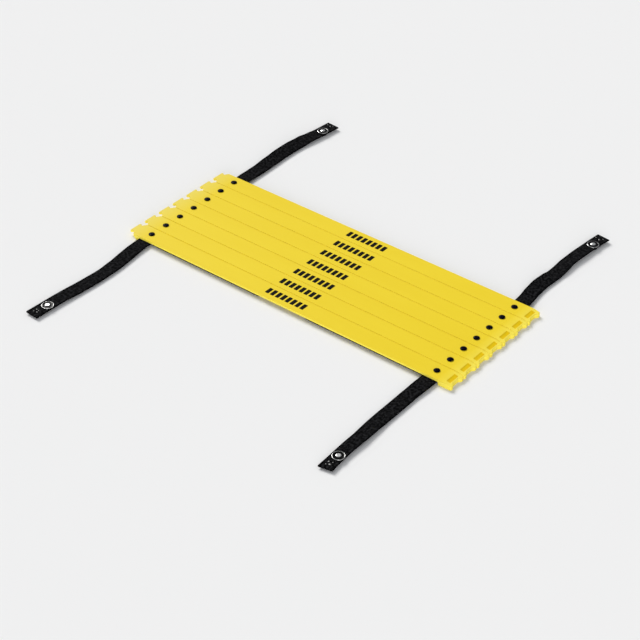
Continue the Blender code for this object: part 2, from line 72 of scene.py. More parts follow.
LOG = logging.getLogger("agility_ladder")
SLOTS = {
    "yellow_polypropylene_moulded": "yellow_plastic",
    "black_polypropylene_webbing_woven": "black_webbing",
    "black_nylon_moulded": "black_nylon",
    "nickel_plated_brass_pressed": "nickel",
}
MAP_NAME = "along_across"
MILLIMETRE = 0.001
MERGE_DISTANCE = 1e-7
POLYPROPYLENE_IOR = 1.49
X_AXIS, Y_AXIS, Z_AXIS = np.eye(3)


class Side(Enum):
    """The two straps, by the sign of their place on X."""

    LEFT = -1
    RIGHT = 1


class End(Enum):
    """The two ends of the pack, by the sign of their place on Y."""

    BACK = 1
    FRONT = -1


# Surfaces


def smooth_share(share: Array) -> Array:
    """Eases shares from 0 to 1: three times the square less twice the cube."""
    share = np.clip(share, 0.0, 1.0)
    return share * share * (3.0 - 2.0 * share)


def quarter_drop(distance: Array, radius: float) -> Array:
    """Works out how far a quarter round falls back from its tangent.

    The drop is the radius less the root of (radius squared less the square of what is left of the
    radius after the distance).

    Args:
        distance: How far each point lies from where the round ends.
        radius: Radius of the round.

    Returns:
        The drop at each distance, zero from one radius on.
    """
    left = np.clip(radius - distance, 0.0, radius)
    return radius - np.sqrt(radius * radius - left * left)


def points_at(*places: Array | float) -> Array:
    """Joins places along each axis, as arrays or single values, into points."""
    return np.stack(np.broadcast_arrays(*places), axis=-1)


def step_lengths(path: Array) -> Array:
    """Returns the distance from each point of a path to the next."""
    return np.linalg.norm(np.diff(path, axis=0), axis=1)


def level_normals(tangents: Array) -> Array:
    """Returns the level unit normals of a path: (y, minus x) of each tangent."""
    normals = points_at(tangents[:, 1], -tangents[:, 0], 0.0)
    return normals / np.linalg.norm(normals, axis=1, keepdims=True)


def tube_mesh(
    name: str, points: Array, uv: Array | None = None, sharp_deg: float = 40.0, folded_end: bool = False
) -> Mesh:
    """Makes a closed mesh from rings of points, with a face over each end ring.

    Args:
        name: Name of the mesh.
        points: Rings along the surface, as rows by columns by three.
        uv: Map coordinates in metres, as rows by columns by two.
        sharp_deg: Angle from which an edge is shaded sharp.
        folded_end: Whether the last ring lies folded on itself, so that it needs no face.

    Returns:
        The mesh, with its doubles merged, so that rings of one point become poles.
    """
    numbers = np.arange(points[..., 0].size).reshape(points.shape[:2])
    following = np.roll(numbers, -1, axis=1)
    quads = points_at(numbers[:-1], following[:-1], following[1:], numbers[1:]).reshape(-1, 4)
    ends = numbers[:1] if folded_end else numbers[[0, -1]]
    mesh = bpy.data.meshes.new(name)
    mesh.from_pydata(points.reshape(-1, 3).tolist(), [], quads.tolist() + ends.tolist())
    if uv is not None:
        layer = mesh.uv_layers.new(name=MAP_NAME)
        corners = np.empty(len(mesh.loops), dtype=np.int32)
        mesh.loops.foreach_get("vertex_index", corners)
        layer.data.foreach_set("uv", uv.reshape(-1, 2)[corners].ravel())
    return tidy_mesh(mesh, sharp_deg)


def tidy_mesh(mesh: Mesh, sharp_deg: float = 40.0) -> Mesh:
    """Merges doubles, turns the faces outward and shades the mesh smooth up to its sharp edges.

    Args:
        mesh: The closed mesh.
        sharp_deg: Angle from which an edge is shaded sharp.

    Returns:
        The same mesh.
    """
    shape = bmesh.new()
    shape.from_mesh(mesh)
    bmesh.ops.remove_doubles(shape, verts=shape.verts, dist=MERGE_DISTANCE)
    bmesh.ops.recalc_face_normals(shape, faces=shape.faces)
    shape.to_mesh(mesh)
    shape.free()
    mesh.shade_smooth()
    mesh.set_sharp_from_angle(angle=math.radians(sharp_deg))
    return mesh


def joined_mesh(name: str, meshes: Sequence[Mesh]) -> Mesh:
    """Joins meshes, as they are, into one.

    Args:
        name: Name of the joined mesh.
        meshes: The meshes, in place.

    Returns:
        The joined mesh.
    """
    shape = bmesh.new()
    for mesh in meshes:
        shape.from_mesh(mesh)
    joined = bpy.data.meshes.new(name)
    shape.to_mesh(joined)
    shape.free()
    return joined


def lathe_mesh(name: str, profile: Array, place: Pair, segments: int = 48) -> Mesh:
    """Makes a turned piece, whose map holds (height, radius) in metres.

    Each point is the place plus the radius times (cosine, sine) of the turn, at its own height.

    Args:
        name: Name of the mesh.
        profile: Points of (radius, height), from pole to pole.
        place: Where the axis stands on the floor.
        segments: Number of steps in the whole turn.

    Returns:
        The closed mesh.
    """
    turn = np.arange(segments) * (2.0 * np.pi / segments)
    radius, height = profile[:, :1], profile[:, 1:]
    rings = points_at(place[0] + radius * np.cos(turn), place[1] + radius * np.sin(turn), height)
    return tube_mesh(name, rings, points_at(rings[..., 2], radius))


def box_mesh(
    name: str, low: Array | Triple, high: Array | Triple, radius: float, rise: float = 0.0
) -> Mesh:
    """Makes an upright box with round corners in plan, as a cutter or a printed block.

    The ring is four quarter circles of the radius about the inset corners, at each height, and the
    lower ring climbs evenly by the rise from the box's high end on X to its low end.

    Args:
        name: Name of the mesh.
        low: Lowest corner.
        high: Highest corner.
        radius: Radius of the upright edges.
        rise: How much higher the underside lies at the low end of X.

    Returns:
        The closed mesh.
    """
    angle = np.radians(np.repeat([-90, 0, 90, 180], 4) + np.tile([0, 30, 60, 90], 4))
    right, upper = np.repeat([1, 1, 0, 0], 4), np.repeat([0, 1, 1, 0], 4)
    x = np.where(right, high[0] - radius, low[0] + radius) + radius * np.cos(angle)
    y = np.where(upper, high[1] - radius, low[1] + radius) + radius * np.sin(angle)
    base = low[2] + rise * (high[0] - x) / (high[0] - low[0])
    return tube_mesh(name, np.stack([points_at(x, y, base), points_at(x, y, high[2])]))


def placed(name: str, data: bpy.types.ID) -> Piece:
    """Makes an object and puts it into the scene.

    Args:
        name: Name of the object.
        data: Its mesh, lamp or camera.

    Returns:
        The object, at the origin.
    """
    item = bpy.data.objects.new(name, data)
    bpy.context.scene.collection.objects.link(item)
    return item


def new_piece(name: str, mesh: Mesh, material: Material) -> Piece:
    """Makes a piece at the origin, with its finish.

    Args:
        name: Name of the piece.
        mesh: Its mesh, in place.
        material: Its finish.

    Returns:
        The object.
    """
    piece = placed(name, mesh)
    mesh.materials.clear()
    mesh.materials.append(material)
    if material.name in SLOTS:
        SLOTS[material.name]
    return piece


def add_piece(name: str, mesh: Mesh, material: Material, body: str, node: str = "") -> Piece:
    """Adds a finished piece at the origin, with its material, riding on a body.

    Args:
        name: Name of the piece.
        mesh: Its mesh, in place.
        material: Its finish.
        body: Name of the body that carries it.
        node: Name of the CAD node that it replaces, if there is one.

    Returns:
        The object.
    """
    piece = new_piece(name, mesh, material)
    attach(piece, body)
    if node:
        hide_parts(node)
    LOG.info("%s: %d faces, on %s", name, len(mesh.polygons), body)
    return piece


# Finishes


def linear(code: str) -> tuple[float, float, float, float]:
    """Turns an sRGB hex colour into linear light.

    Args:
        code: The colour, such as #F0F0F0.

    Returns:
        Red, green, blue and a full alpha.
    """
    values = [int(code[place : place + 2], 16) / 255.0 for place in (1, 3, 5)]
    light = [v / 12.92 if v <= 0.04045 else ((v + 0.055) / 1.055) ** 2.4 for v in values]
    return (*light, 1.0)


def add_node(tree: Tree, kind: str, inputs: Inputs | None = None, **settings: object) -> bpy.types.Node:
    """Adds a shader node with its settings, its constants and its links.

    Args:
        tree: The material's node tree.
        kind: The node's type, without the words that all types start with.
        inputs: For each input, a constant, a hex colour, a socket, or a node whose first output
            in use is linked.
        settings: The node's own properties.

    Returns:
        The node.
    """
    node = tree.nodes.new("ShaderNode" + kind)
    for name, value in settings.items():
        setattr(node, name, value)
    for name, value in (inputs or {}).items():
        if isinstance(value, bpy.types.Node):
            value = next(output for output in value.outputs if output.enabled)
        if isinstance(value, bpy.types.NodeSocket):
            tree.links.new(value, node.inputs[name])
        else:
            node.inputs[name].default_value = linear(value) if isinstance(value, str) else value
    return node


class Finish:
    """A finish, whose material is one Principled shader fed by the nodes that each kind adds."""

    name: str

    def surface(self, tree: Tree) -> Inputs:
        """Adds the finish's nodes and returns the shader's inputs."""
        raise NotImplementedError

    def build(self) -> Material:
        """Builds the material.

        Returns:
            The material, under the finish's name.
        """
        material = bpy.data.materials.new(self.name)
        material.use_nodes = True
        tree = material.node_tree
        tree.nodes.clear()
        add_node(tree, "OutputMaterial", {"Surface": add_node(tree, "BsdfPrincipled", self.surface(tree))})
        return material


@dataclass(frozen=True)
class MouldedPolypropylene(Finish):
    """Injection-moulded polypropylene: satin sheen, faint flow tints and rub marks.

    The tab ends carry a painted sheen, the side faces, the lower edges and the slotted end's lip a
    painted highlight, and the slots painted shade in a deeper yellow. The mould's own grain is too
    fine to show in the render, so it is drawn coarser.
    """

    slot_middle_x: float
    slot_pitch: float
    slot_half: Pair
    name: str = "yellow_polypropylene_moulded"
    colour: str = "#F2D831"
    flow_colour: str = "#ECCF27"
    # Painted sheen: the tab ends are painted paler towards their tips.
    tab_sheen_colour: str = "#EDD85A"
    tab_sheen_from: Pair = (-0.216, -0.240)
    # Painted highlight: the side faces and lower edges are painted paler by height, the lip by place on X.
    side_highlight_colour: str = "#FFEB58"
    side_highlight_from: Pair = (0.0069, 0.0059)
    lip_highlight_from: Pair = (0.2225, 0.2400)
    # Painted shade: the slots are painted a deeper yellow.
    slot_shade_colour: str = "#F1CD14"
    slot_shade_edge: float = 0.0002
    roughness: Pair = (0.34, 0.48)
    specular: float = 0.08
    flow_width: float = 0.030
    flow_stretch: Triple = (0.2, 1.0, 1.0)
    peel_width: float = 0.0016
    peel_depth: float = 0.00002
    peel_strength: float = 0.5
    rub_size: Triple = (0.020, 0.0012, 0.0012)
    rub_turn_deg: float = 12.0
    rub_share: Pair = (0.35, 0.70)

    def surface(self, tree: Tree) -> Inputs:
        """Adds the flow, painted sheen and highlight, painted slot shade, rub marks and moulded grain.

        Each colour lies over the ones before it by its own share, and the share of the slots is
        that of their place along the rung times that of their place across it.

        Args:
            tree: The material's node tree.

        Returns:
            The shader's inputs.
        """
        place = add_node(tree, "TexCoord").outputs["Object"]
        x, y, z = add_node(tree, "SeparateXYZ", {0: place}).outputs
        drawn = add_node(tree, "Mapping", {"Vector": place, "Scale": self.flow_stretch})
        flow = add_node(tree, "TexNoise", {"Vector": drawn, "Scale": 1.0 / self.flow_width, "Detail": 3.0})
        # Shares of the painted sheen on the tabs, and of the painted highlight on the lip and the lower
        # faces.
        tab, lip, edge = (
            add_node(tree, "MapRange", {0: axis, 1: start, 2: end})
            for axis, (start, end) in ((x, self.tab_sheen_from), (x, self.lip_highlight_from), (z, self.side_highlight_from))
        )
        # Painted highlight over the lower faces and the lip, whichever share is the larger.
        pale = add_node(tree, "Math", {0: edge, 1: lip}, operation="MAXIMUM")
        # Share of the painted shade in each slot, by its place along and across the rung.
        half_pitch = self.slot_pitch / 2
        along = add_node(tree, "Math", {0: x, 1: self.slot_middle_x}, operation="SUBTRACT")
        over = add_node(tree, "Math", {0: y, 1: half_pitch, 2: -half_pitch}, operation="WRAP")
        within = []
        for off, half in zip((along, over), self.slot_half):
            reach = add_node(tree, "Math", {0: off}, operation="ABSOLUTE")
            ends = {1: half + self.slot_shade_edge, 2: half - self.slot_shade_edge}
            within.append(add_node(tree, "MapRange", {0: reach, **ends}))
        slot = add_node(tree, "Math", dict(enumerate(within)), operation="MULTIPLY")
        paint = self.colour
        colours = (self.flow_colour, self.tab_sheen_colour, self.side_highlight_colour, self.slot_shade_colour)
        for share, colour in zip((flow, tab, pale, slot), colours):
            paint = add_node(tree, "Mix", {0: share, 6: paint, 7: colour}, data_type="RGBA")
        turn, scale = (0.0, 0.0, math.radians(self.rub_turn_deg)), [1.0 / size for size in self.rub_size]
        rubs = add_node(tree, "Mapping", {"Vector": place, "Rotation": turn, "Scale": scale})
        rub = add_node(tree, "TexNoise", {"Vector": rubs, "Scale": 1.0, "Detail": 2.0})
        gloss = add_node(tree, "MapRange", {0: rub, **dict(enumerate(self.rub_share + self.roughness, 1))})
        peel = add_node(tree, "TexNoise", {"Vector": place, "Scale": 1.0 / self.peel_width, "Detail": 1.0})
        depth = {"Strength": self.peel_strength, "Distance": self.peel_depth}
        return {
            "Base Color": paint,
            "Roughness": gloss,
            "Normal": add_node(tree, "Bump", {"Height": peel, **depth}),
            "IOR": POLYPROPYLENE_IOR,
            "Specular IOR Level": self.specular,
        }


@dataclass(frozen=True)
class WovenWebbing(Finish):
    """Woven polypropylene webbing: matt black yarn in zigzag ribs, with a painted highlight on the crests.

    A single yarn is too fine to show in the render, so the ribs stand for it, at a coarse pitch.
    """

    name: str = "black_polypropylene_webbing_woven"
    yarn: str = "#010102"
    # Painted highlight on the rib crests, where the random worn patches lie.
    yarn_crest_highlight: str = "#343436"
    roughness: float = 0.78
    specular: float = 0.02
    rib_pitch: float = 0.0013
    zigzag_width: float = 0.0033
    zigzag_shift: float = 0.5
    rib_depth: float = 0.00010
    rib_strength: float = 0.8
    fuzz_width: float = 0.0030
    fuzz_share: Pair = (0.43, 0.62)
    selvedge: Pair = (0.0074, 0.0092)

    def surface(self, tree: Tree) -> Inputs:
        """Adds the ribs, with a painted highlight on their crests in worn patches, on the piece's own map in
        metres.

        A rib's height is the sine of (the place along plus the zigzag over the width) over the rib
        pitch. Its crest takes the painted highlight by the fuzz's share, and none along the selvedges.

        Args:
            tree: The material's node tree.

        Returns:
            The shader's inputs.
        """
        place = add_node(tree, "UVMap", uv_map=MAP_NAME)
        along, across, _ = add_node(tree, "SeparateXYZ", {0: place}).outputs
        zigzag = (("ADD", self.zigzag_shift), ("PINGPONG", self.zigzag_width), ("ADD", along))
        wave = across
        for operation, other in (*zigzag, ("MULTIPLY", 2.0 * math.pi / self.rib_pitch), ("SINE", 0.0)):
            wave = add_node(tree, "Math", {0: wave, 1: other}, operation=operation)
        crest = add_node(tree, "MapRange", {0: wave, 1: -1.0, 2: 1.0})
        fuzz = add_node(tree, "TexNoise", {"Vector": place, "Scale": 1.0 / self.fuzz_width, "Detail": 4.0})
        patch = add_node(tree, "MapRange", {0: fuzz, 1: self.fuzz_share[0], 2: self.fuzz_share[1]})
        reach = add_node(tree, "Math", {0: across}, operation="ABSOLUTE")
        start, end = self.selvedge
        inner = add_node(tree, "MapRange", {0: reach, 1: start, 2: end, 3: 1.0, 4: 0.0})
        worn = add_node(tree, "Math", {0: inner, 1: patch}, operation="MULTIPLY")
        # Painted highlight: the crests are painted paler within the worn patches.
        light = add_node(tree, "Math", {0: crest, 1: worn}, operation="MULTIPLY")
        tint = add_node(tree, "Mix", {0: light, 6: self.yarn, 7: self.yarn_crest_highlight}, data_type="RGBA")
        depth = {"Strength": self.rib_strength, "Distance": self.rib_depth}
        return {
            "Base Color": tint,
            "Roughness": self.roughness,
            "IOR": POLYPROPYLENE_IOR,
            "Specular IOR Level": self.specular,
            "Normal": add_node(tree, "Bump", {"Height": crest, **depth}),
        }


@dataclass(frozen=True)
class NickelPlate(Finish):
    """Nickel-plated pressed brass, tarnished on its rim, with a painted reflection lightening its crown and
    painted shade darkening its recess.
    """

    name: str = "nickel_plated_brass_pressed"
    bright: str = "#B2B2B1"
    # Painted reflection: the crown is painted lighter than the plate.
    crown: str = "#DEDEDC"
    # Painted shade: the recess is painted near black.
    recess_shade: str = "#0C0C0C"
    tarnish: str = "#646362"
    tarnish_width: float = 0.0030
    tarnish_share: Pair = (0.48, 0.66)
    gloss_share: Pair = (0.3, 0.7)
    roughness: Pair = (0.16, 0.30)
    recess: Pair = (0.0029, 0.0066)
    recess_edge: float = 0.0004

    def surface(self, tree: Tree) -> Inputs:
        """Adds the crown's painted reflection, the recess's painted shade and the tarnished rim, by the
        radius in the piece's own map.

        Args:
            tree: The material's node tree.

        Returns:
            The shader's inputs.
        """
        place = add_node(tree, "TexCoord").outputs["Object"]
        own_map = add_node(tree, "UVMap", uv_map=MAP_NAME)
        radius = add_node(tree, "SeparateXYZ", {0: own_map}).outputs[1]
        (low, high), soft = self.recess, self.recess_edge
        rise = add_node(tree, "MapRange", {0: radius, 1: low - soft, 2: low + soft})
        fall = add_node(tree, "MapRange", {0: radius, 1: high + soft, 2: high - soft})
        band = add_node(tree, "Math", {0: rise, 1: fall}, operation="MULTIPLY")
        scale = 1.0 / self.tarnish_width
        spots = add_node(tree, "TexNoise", {"Vector": place, "Scale": scale, "Detail": 3.0})
        worn = add_node(tree, "MapRange", {0: spots, 1: self.tarnish_share[0], 2: self.tarnish_share[1]})
        plate = add_node(tree, "Mix", {0: worn, 6: self.bright, 7: self.tarnish}, data_type="RGBA")
        # The crown takes the painted reflection.
        crowned = add_node(tree, "Mix", {0: rise, 6: self.crown, 7: plate}, data_type="RGBA")
        # The recess band takes the painted shade.
        tint = add_node(tree, "Mix", {0: band, 6: crowned, 7: self.recess_shade}, data_type="RGBA")
        levels = dict(enumerate(self.gloss_share + self.roughness, 1))
        gloss = add_node(tree, "MapRange", {0: spots, **levels})
        return {"Base Color": tint, "Metallic": 1.0, "Roughness": gloss}


@dataclass(frozen=True)
class PlainPlastic(Finish):
    """A small black or grey part of moulded, printed or spun plastic, with a fine grain."""

    name: str
    colour: str
    worn_colour: str
    roughness: float
    specular: float
    grain_width: float
    grain_depth: float
    worn_share: Pair = (0.45, 0.75)
    grain_strength: float = 0.5

    def surface(self, tree: Tree) -> Inputs:
        """Adds the grain, whose crests take the worn colour.

        Args:
            tree: The material's node tree.

        Returns:
            The shader's inputs.
        """
        place = add_node(tree, "TexCoord").outputs["Object"]
        grain = add_node(tree, "TexNoise", {"Vector": place, "Scale": 1.0 / self.grain_width, "Detail": 3.0})
        worn = add_node(tree, "MapRange", {0: grain, 1: self.worn_share[0], 2: self.worn_share[1]})
        tint = add_node(tree, "Mix", {0: worn, 6: self.colour, 7: self.worn_colour}, data_type="RGBA")
        depth = {"Strength": self.grain_strength, "Distance": self.grain_depth}
        return {
            "Base Color": tint,
            "Roughness": self.roughness,
            "Specular IOR Level": self.specular,
            "Normal": add_node(tree, "Bump", {"Height": grain, **depth}),
        }


# Moulded nylon is near black with a faint blue satin light. Pad-printed ink lies flat and dull.
# Spun polyester thread is fibrous, and its pale grey is a painted highlight for the glint on its
# stitches. Their real grain is too fine to show in the render, so it is drawn coarser.
NYLON = PlainPlastic("black_nylon_moulded", "#03030C", "#06061A", 0.34, 0.02, 0.0020, 0.00003)
INK = PlainPlastic("black_ink_pad_printed", "#080807", "#16140C", 0.50, 0.03, 0.0012, 0.00001)
THREAD = PlainPlastic("grey_polyester_thread_spun", "#B4B4B0", "#D6D6D2", 0.60, 0.20, 0.0005, 0.00005)


@dataclass(frozen=True)
class StudioPaper(Finish):
    """Matt paper: an even pale ground with no sheen."""

    name: str = "pale_studio_paper"
    colour: str = "#F0F0F0"

    def surface(self, tree: Tree) -> Inputs:
        """Returns the shader's inputs, which need no other node."""
        return {"Base Color": self.colour, "Roughness": 1.0, "Specular IOR Level": 0.0}


# The ladder's sizes


@dataclass(frozen=True)
class Layout:
    """Sizes that the sub-assemblies share, the CAD's but for the lower socket."""

    rung_count: int = 7
    rung_length: float = 0.4850
    end_length: float = 0.0176
    rung_width: float = 0.0251
    rung_gap: float = 0.0003
    plate_thickness: float = 0.0030
    foot_height: float = 0.0040
    run_share: float = 0.7856
    tail_share: float = 0.50
    webbing_width: float = 0.0198
    webbing_thickness: float = 0.0010
    channel_clearance: float = 0.0005
    fit_gap: float = 0.0003
    fold_gap: float = 0.0004
    floor_gap: float = 0.0002
    hem_length: float = 0.0400
    flange_thickness: float = 0.0009
    socket_height: float = 0.0016

    @property
    def pitch(self) -> float:
        """Distance from rung to rung in the pack."""
        return self.rung_width + self.rung_gap

    @property
    def half_width(self) -> float:
        """Half a rung's width."""
        return self.rung_width / 2

    @property
    def middle_rung(self) -> int:
        """Number of the middle rung."""
        return (self.rung_count + 1) // 2

    @property
    def rung_top(self) -> float:
        """Height of a rung's top face."""
        return self.foot_height + self.plate_thickness

    @property
    def tip_x(self) -> float:
        """Distance from the middle to either tip of a rung."""
        return self.rung_length / 2

    @property
    def foot_inner_x(self) -> float:
        """Distance from the middle to the inner wall of either foot."""
        return self.tip_x - self.end_length

    @property
    def half_webbing(self) -> float:
        """Half the webbing's width."""
        return self.webbing_width / 2

    @property
    def strap_x(self) -> float:
        """Distance from the middle to the line of either strap."""
        return self.foot_inner_x - self.channel_clearance - self.half_webbing

    @property
    def seat(self) -> float:
        """Height of the middle of the webbing under a rung."""
        return self.foot_height - self.fit_gap - self.webbing_thickness / 2

    @property
    def layer_pitch(self) -> float:
        """Distance from layer to layer in a fold."""
        return self.webbing_thickness + self.fold_gap

    @property
    def pack_half_depth(self) -> float:
        """Distance from the middle to the front or back edge of the pack."""
        return self.pitch * (self.rung_count - 1) / 2 + self.half_width

    @property
    def run_length(self) -> float:
        """Webbing from rivet to rivet."""
        return self.rung_length * self.run_share

    @property
    def tail_length(self) -> float:
        """Webbing of a free tail that lies straight."""
        return self.run_length * self.tail_share

    def rung_y(self, number: int) -> float:
        """Place of a rung's middle, counted from 1 at the back."""
        return self.pitch * (self.middle_rung - number)

    def hem_underside(self, end: End) -> float:
        """Height of a hem's underside, which lies on the lower half of its press stud."""
        fitting = self.socket_height if end is End.BACK else self.flange_thickness
        return self.floor_gap + fitting + self.fit_gap

    def hem_top(self, end: End) -> float:
        """Height at which a press stud's upper half sits on its hem."""
        return self.hem_underside(end) + self.layer_pitch + self.webbing_thickness + self.fit_gap


# Rungs


@dataclass(frozen=True)
class Rungs:
    """The seven moulded rungs, each with two rivets and a plain printed mark."""

    layout: Layout
    edge_radius: float = 0.0008
    base_edge: float = 0.0002
    edge_points: tuple[int, int] = (4, 8)
    flat_start: Pair = (0.985, 0.96)
    flat_points: int = 22
    length_points: int = 26
    root_radius: float = 0.0012
    root_points: int = 6
    left_foot_width: float = 0.0045
    foot_slope_run: float = 0.0036
    wall_draft: float = 0.0001
    neck_length: float = 0.0014
    neck_inset: float = 0.0050
    tip_inset: float = 0.0036
    hook_length: float = 0.0026
    hook_slope_run: float = 0.0010
    tab_thickness: float = 0.0026
    tab_corner: float = 0.0010
    tip_shares: tuple[float, ...] = (1.0, 0.94, 0.82, 0.68, 0.52, 0.38, 0.25, 0.14, 0.06, 0.015, 0.0)
    horn_reach: float = 0.0028
    horn_corner: float = 0.0024
    scallop_flat_share: float = 0.36
    scallop_top_share: float = 0.70
    lip_thickness: float = 0.0017
    lip_drop: float = 0.0020
    slot_length: float = 0.0050
    slot_width: float = 0.0154
    slot_corner: float = 0.0012
    slot_floor: float = 0.0012
    slot_bottom: float = 0.0049
    slot_rise: float = 0.0018
    skirt_wall: float = 0.0024
    overrun: float = 0.0010
    rim_bevel: float = 0.00025
    rim_angle_deg: float = 50.0
    head_radius: float = 0.0039
    head_height: float = 0.0013
    head_edge: float = 0.0003
    head_round: float = 0.00008
    dome_points: int = 14
    dimple_edge_deg: float = 14.0
    dimple: tuple[Pair, Pair] = ((0.0, 0.00022), (0.0004, 0.00020))
    shank_radius: float = 0.00175
    rivet_tail_radius: float = 0.0032
    rivet_tail_thickness: float = 0.0008
    rivet_tail_rounds: Pair = (0.0001, 0.0003)
    rivet_segments: int = 36
    mark_count: int = 8
    mark_size: Triple = (0.0052, 0.0106, 0.00006)
    mark_pitch: float = 0.0074
    mark_corner: float = 0.0008
    mark_middle_x: float = -0.0008

    @property
    def slot_end_x(self) -> float:
        """End of the slot, at the lip."""
        return self.layout.tip_x - self.horn_reach - self.lip_thickness

    @property
    def slot_start_x(self) -> float:
        """Start of the slot, where the top face begins to slope."""
        return self.slot_end_x - self.slot_length

    def left_inset(self, x: Array) -> Array:
        """Works out how far the tab and shoulder stand in from the rung's full width.

        The inset keeps the tip's value along the hook, ramps to the neck's, keeps it along the
        neck and eases to nothing at the shoulder.

        Args:
            x: Places along the rung.

        Returns:
            The inset at each place.
        """
        hook_end = -self.layout.tip_x + self.hook_length
        slope_end = hook_end + self.hook_slope_run
        neck_end = slope_end + self.neck_length
        shoulder_end = -self.layout.foot_inner_x - self.left_foot_width - self.foot_slope_run
        step = np.interp(x, [hook_end, slope_end], [self.tip_inset, self.neck_inset])
        return step * (1.0 - smooth_share((x - neck_end) / (shoulder_end - neck_end)))

    def right_end_x(self, y: Array) -> Array:
        """Works out where the right end lies across the rung: its tip, less the eased scallop.

        Args:
            y: Places across the rung.

        Returns:
            The end's place on X at each of them.
        """
        start = self.layout.half_width * self.scallop_top_share
        flat = self.layout.half_width * self.scallop_flat_share
        return self.layout.tip_x - self.horn_reach * smooth_share((start - np.abs(y)) / (start - flat))

    def underside(self) -> Array:
        """Lists the rungs' underside as (x, height), from the tab's tip to the slotted end's lip.

        It runs flat under the tab, down the slanted back of the left foot, up its inner wall, which
        leans by the mould's draft, with a quarter round at the root, flat under the span, and down
        the right foot's inner wall. It stops short of the lip, where the rings that follow the
        scallop take over.

        Returns:
            The points, in order along X.
        """
        layout, radius, inner = self.layout, self.root_radius, self.layout.foot_inner_x
        tab, plate = layout.rung_top - self.tab_thickness, layout.foot_height
        foot_x = -inner - self.left_foot_width
        slope_x = foot_x - self.foot_slope_run
        angle = np.linspace(0.0, np.pi / 2, self.root_points)
        arc = points_at(inner - radius + radius * np.cos(angle), plate - radius + radius * np.sin(angle))
        start_x = self.tab_corner - layout.tip_x
        tip = points_at(np.linspace(start_x, slope_x - radius, self.length_points), tab)
        back_x = slope_x - radius + radius * np.sin(angle[1:])
        back = points_at(back_x, tab - quarter_drop(slope_x - back_x, radius))
        foot = points_at([foot_x, -inner - self.wall_draft], 0.0)
        span = points_at(np.linspace(radius - inner, inner - radius, self.length_points)[1:-1], plate)
        lip_x = self.slot_end_x - self.horn_corner / 4
        slope = np.linspace(self.slot_start_x, lip_x, self.root_points)
        right = points_at(np.append(inner + self.wall_draft, slope), 0.0)
        return np.concatenate([tip, back, foot, arc * (-1.0, 1.0), span, arc[::-1], right])

    def section(self, half: Array, low: Array | float, high: Array | float) -> Array:
        """Works out the rings of a rung, as seen along X.

        A ring runs along the underside, round the small lower edge, up the side, round the upper
        edge and back over the top, and then the same mirrored. Every coordinate is the edge's own
        place plus its radius times a sine or cosine.

        Args:
            half: Half-width of each ring.
            low: Height of each ring's underside.
            high: Height of each ring's top.

        Returns:
            Rings of (y, z), as rows by columns by two.
        """
        small, large = self.base_edge, self.edge_radius
        turn, bend = (np.linspace(0.0, np.pi / 2, count) for count in self.edge_points)
        half, low, high = (value[:, None] for value in np.broadcast_arrays(half, low, high))
        flat = np.append(self.flat_start[0], np.linspace(self.flat_start[1], 0.0, self.flat_points))
        parts = (
            points_at((half - large) * flat[::-1], low),
            points_at(half - small + small * np.sin(turn), low + small - small * np.cos(turn)),
            points_at(half - large + large * np.cos(bend), high - large + large * np.sin(bend)),
            points_at((half - large) * flat, high),
        )
        ring = np.concatenate(parts, axis=1)
        return np.concatenate([ring, ring[:, -2:0:-1] * (-1.0, 1.0)], axis=1)

    def blank_mesh(self) -> Mesh:
        """Makes the body of a rung as a loft along X, with rounded edges all round.

        The rings between the ends stand upright. Near each tip they lie at set shares of its
        corner's radius from the tip, and close in by the quarter round of that corner in plan and
        of the top edge. At the right end each point also falls back to the scallop's line. The last
        ring folds onto itself at half the lip's height, so the end face follows the scallop.

        Returns:
            The closed mesh of the rung at the origin.
        """
        layout, top, edge = self.layout, self.layout.rung_top, self.edge_radius
        drop = self.lip_drop / (layout.tip_x - self.slot_start_x)
        x, low = self.underside().T[..., None]
        y, z = np.moveaxis(self.section(layout.half_width - self.left_inset(x[:, 0]), low[:, 0], top), -1, 0)
        share = np.clip((z - low) / (top - low), 0.0, 1.0)
        middle = points_at(x, y, z - drop * np.clip(x - self.slot_start_x, 0.0, None) * share)

        back = np.array(self.tip_shares)
        left = back[::-1] * self.tab_corner
        half = layout.half_width - self.tip_inset - quarter_drop(left, self.tab_corner)
        rows = self.section(half, top - self.tab_thickness, top - quarter_drop(left, edge))
        left_end = points_at(left[:, None] - layout.tip_x, rows[..., 0], rows[..., 1])

        right = back[:, None] * self.horn_corner
        half = layout.half_width - quarter_drop(right[:, 0], self.horn_corner)
        y, z = np.moveaxis(self.section(half, 0.0, top), -1, 0)
        x = self.right_end_x(y) - right
        lip = drop * (x - self.slot_start_x) + quarter_drop(right, edge)
        right_end = points_at(x, y, z - lip * z / top)

        fold_y = np.clip(y[-1:], edge - half[-1], half[-1] - edge)
        fold = points_at(self.right_end_x(fold_y), fold_y, (top - self.lip_drop) / 2)
        rings = np.concatenate([left_end[:-1], middle, right_end, fold])
        return tube_mesh("rung_blank", rings, folded_end=True)

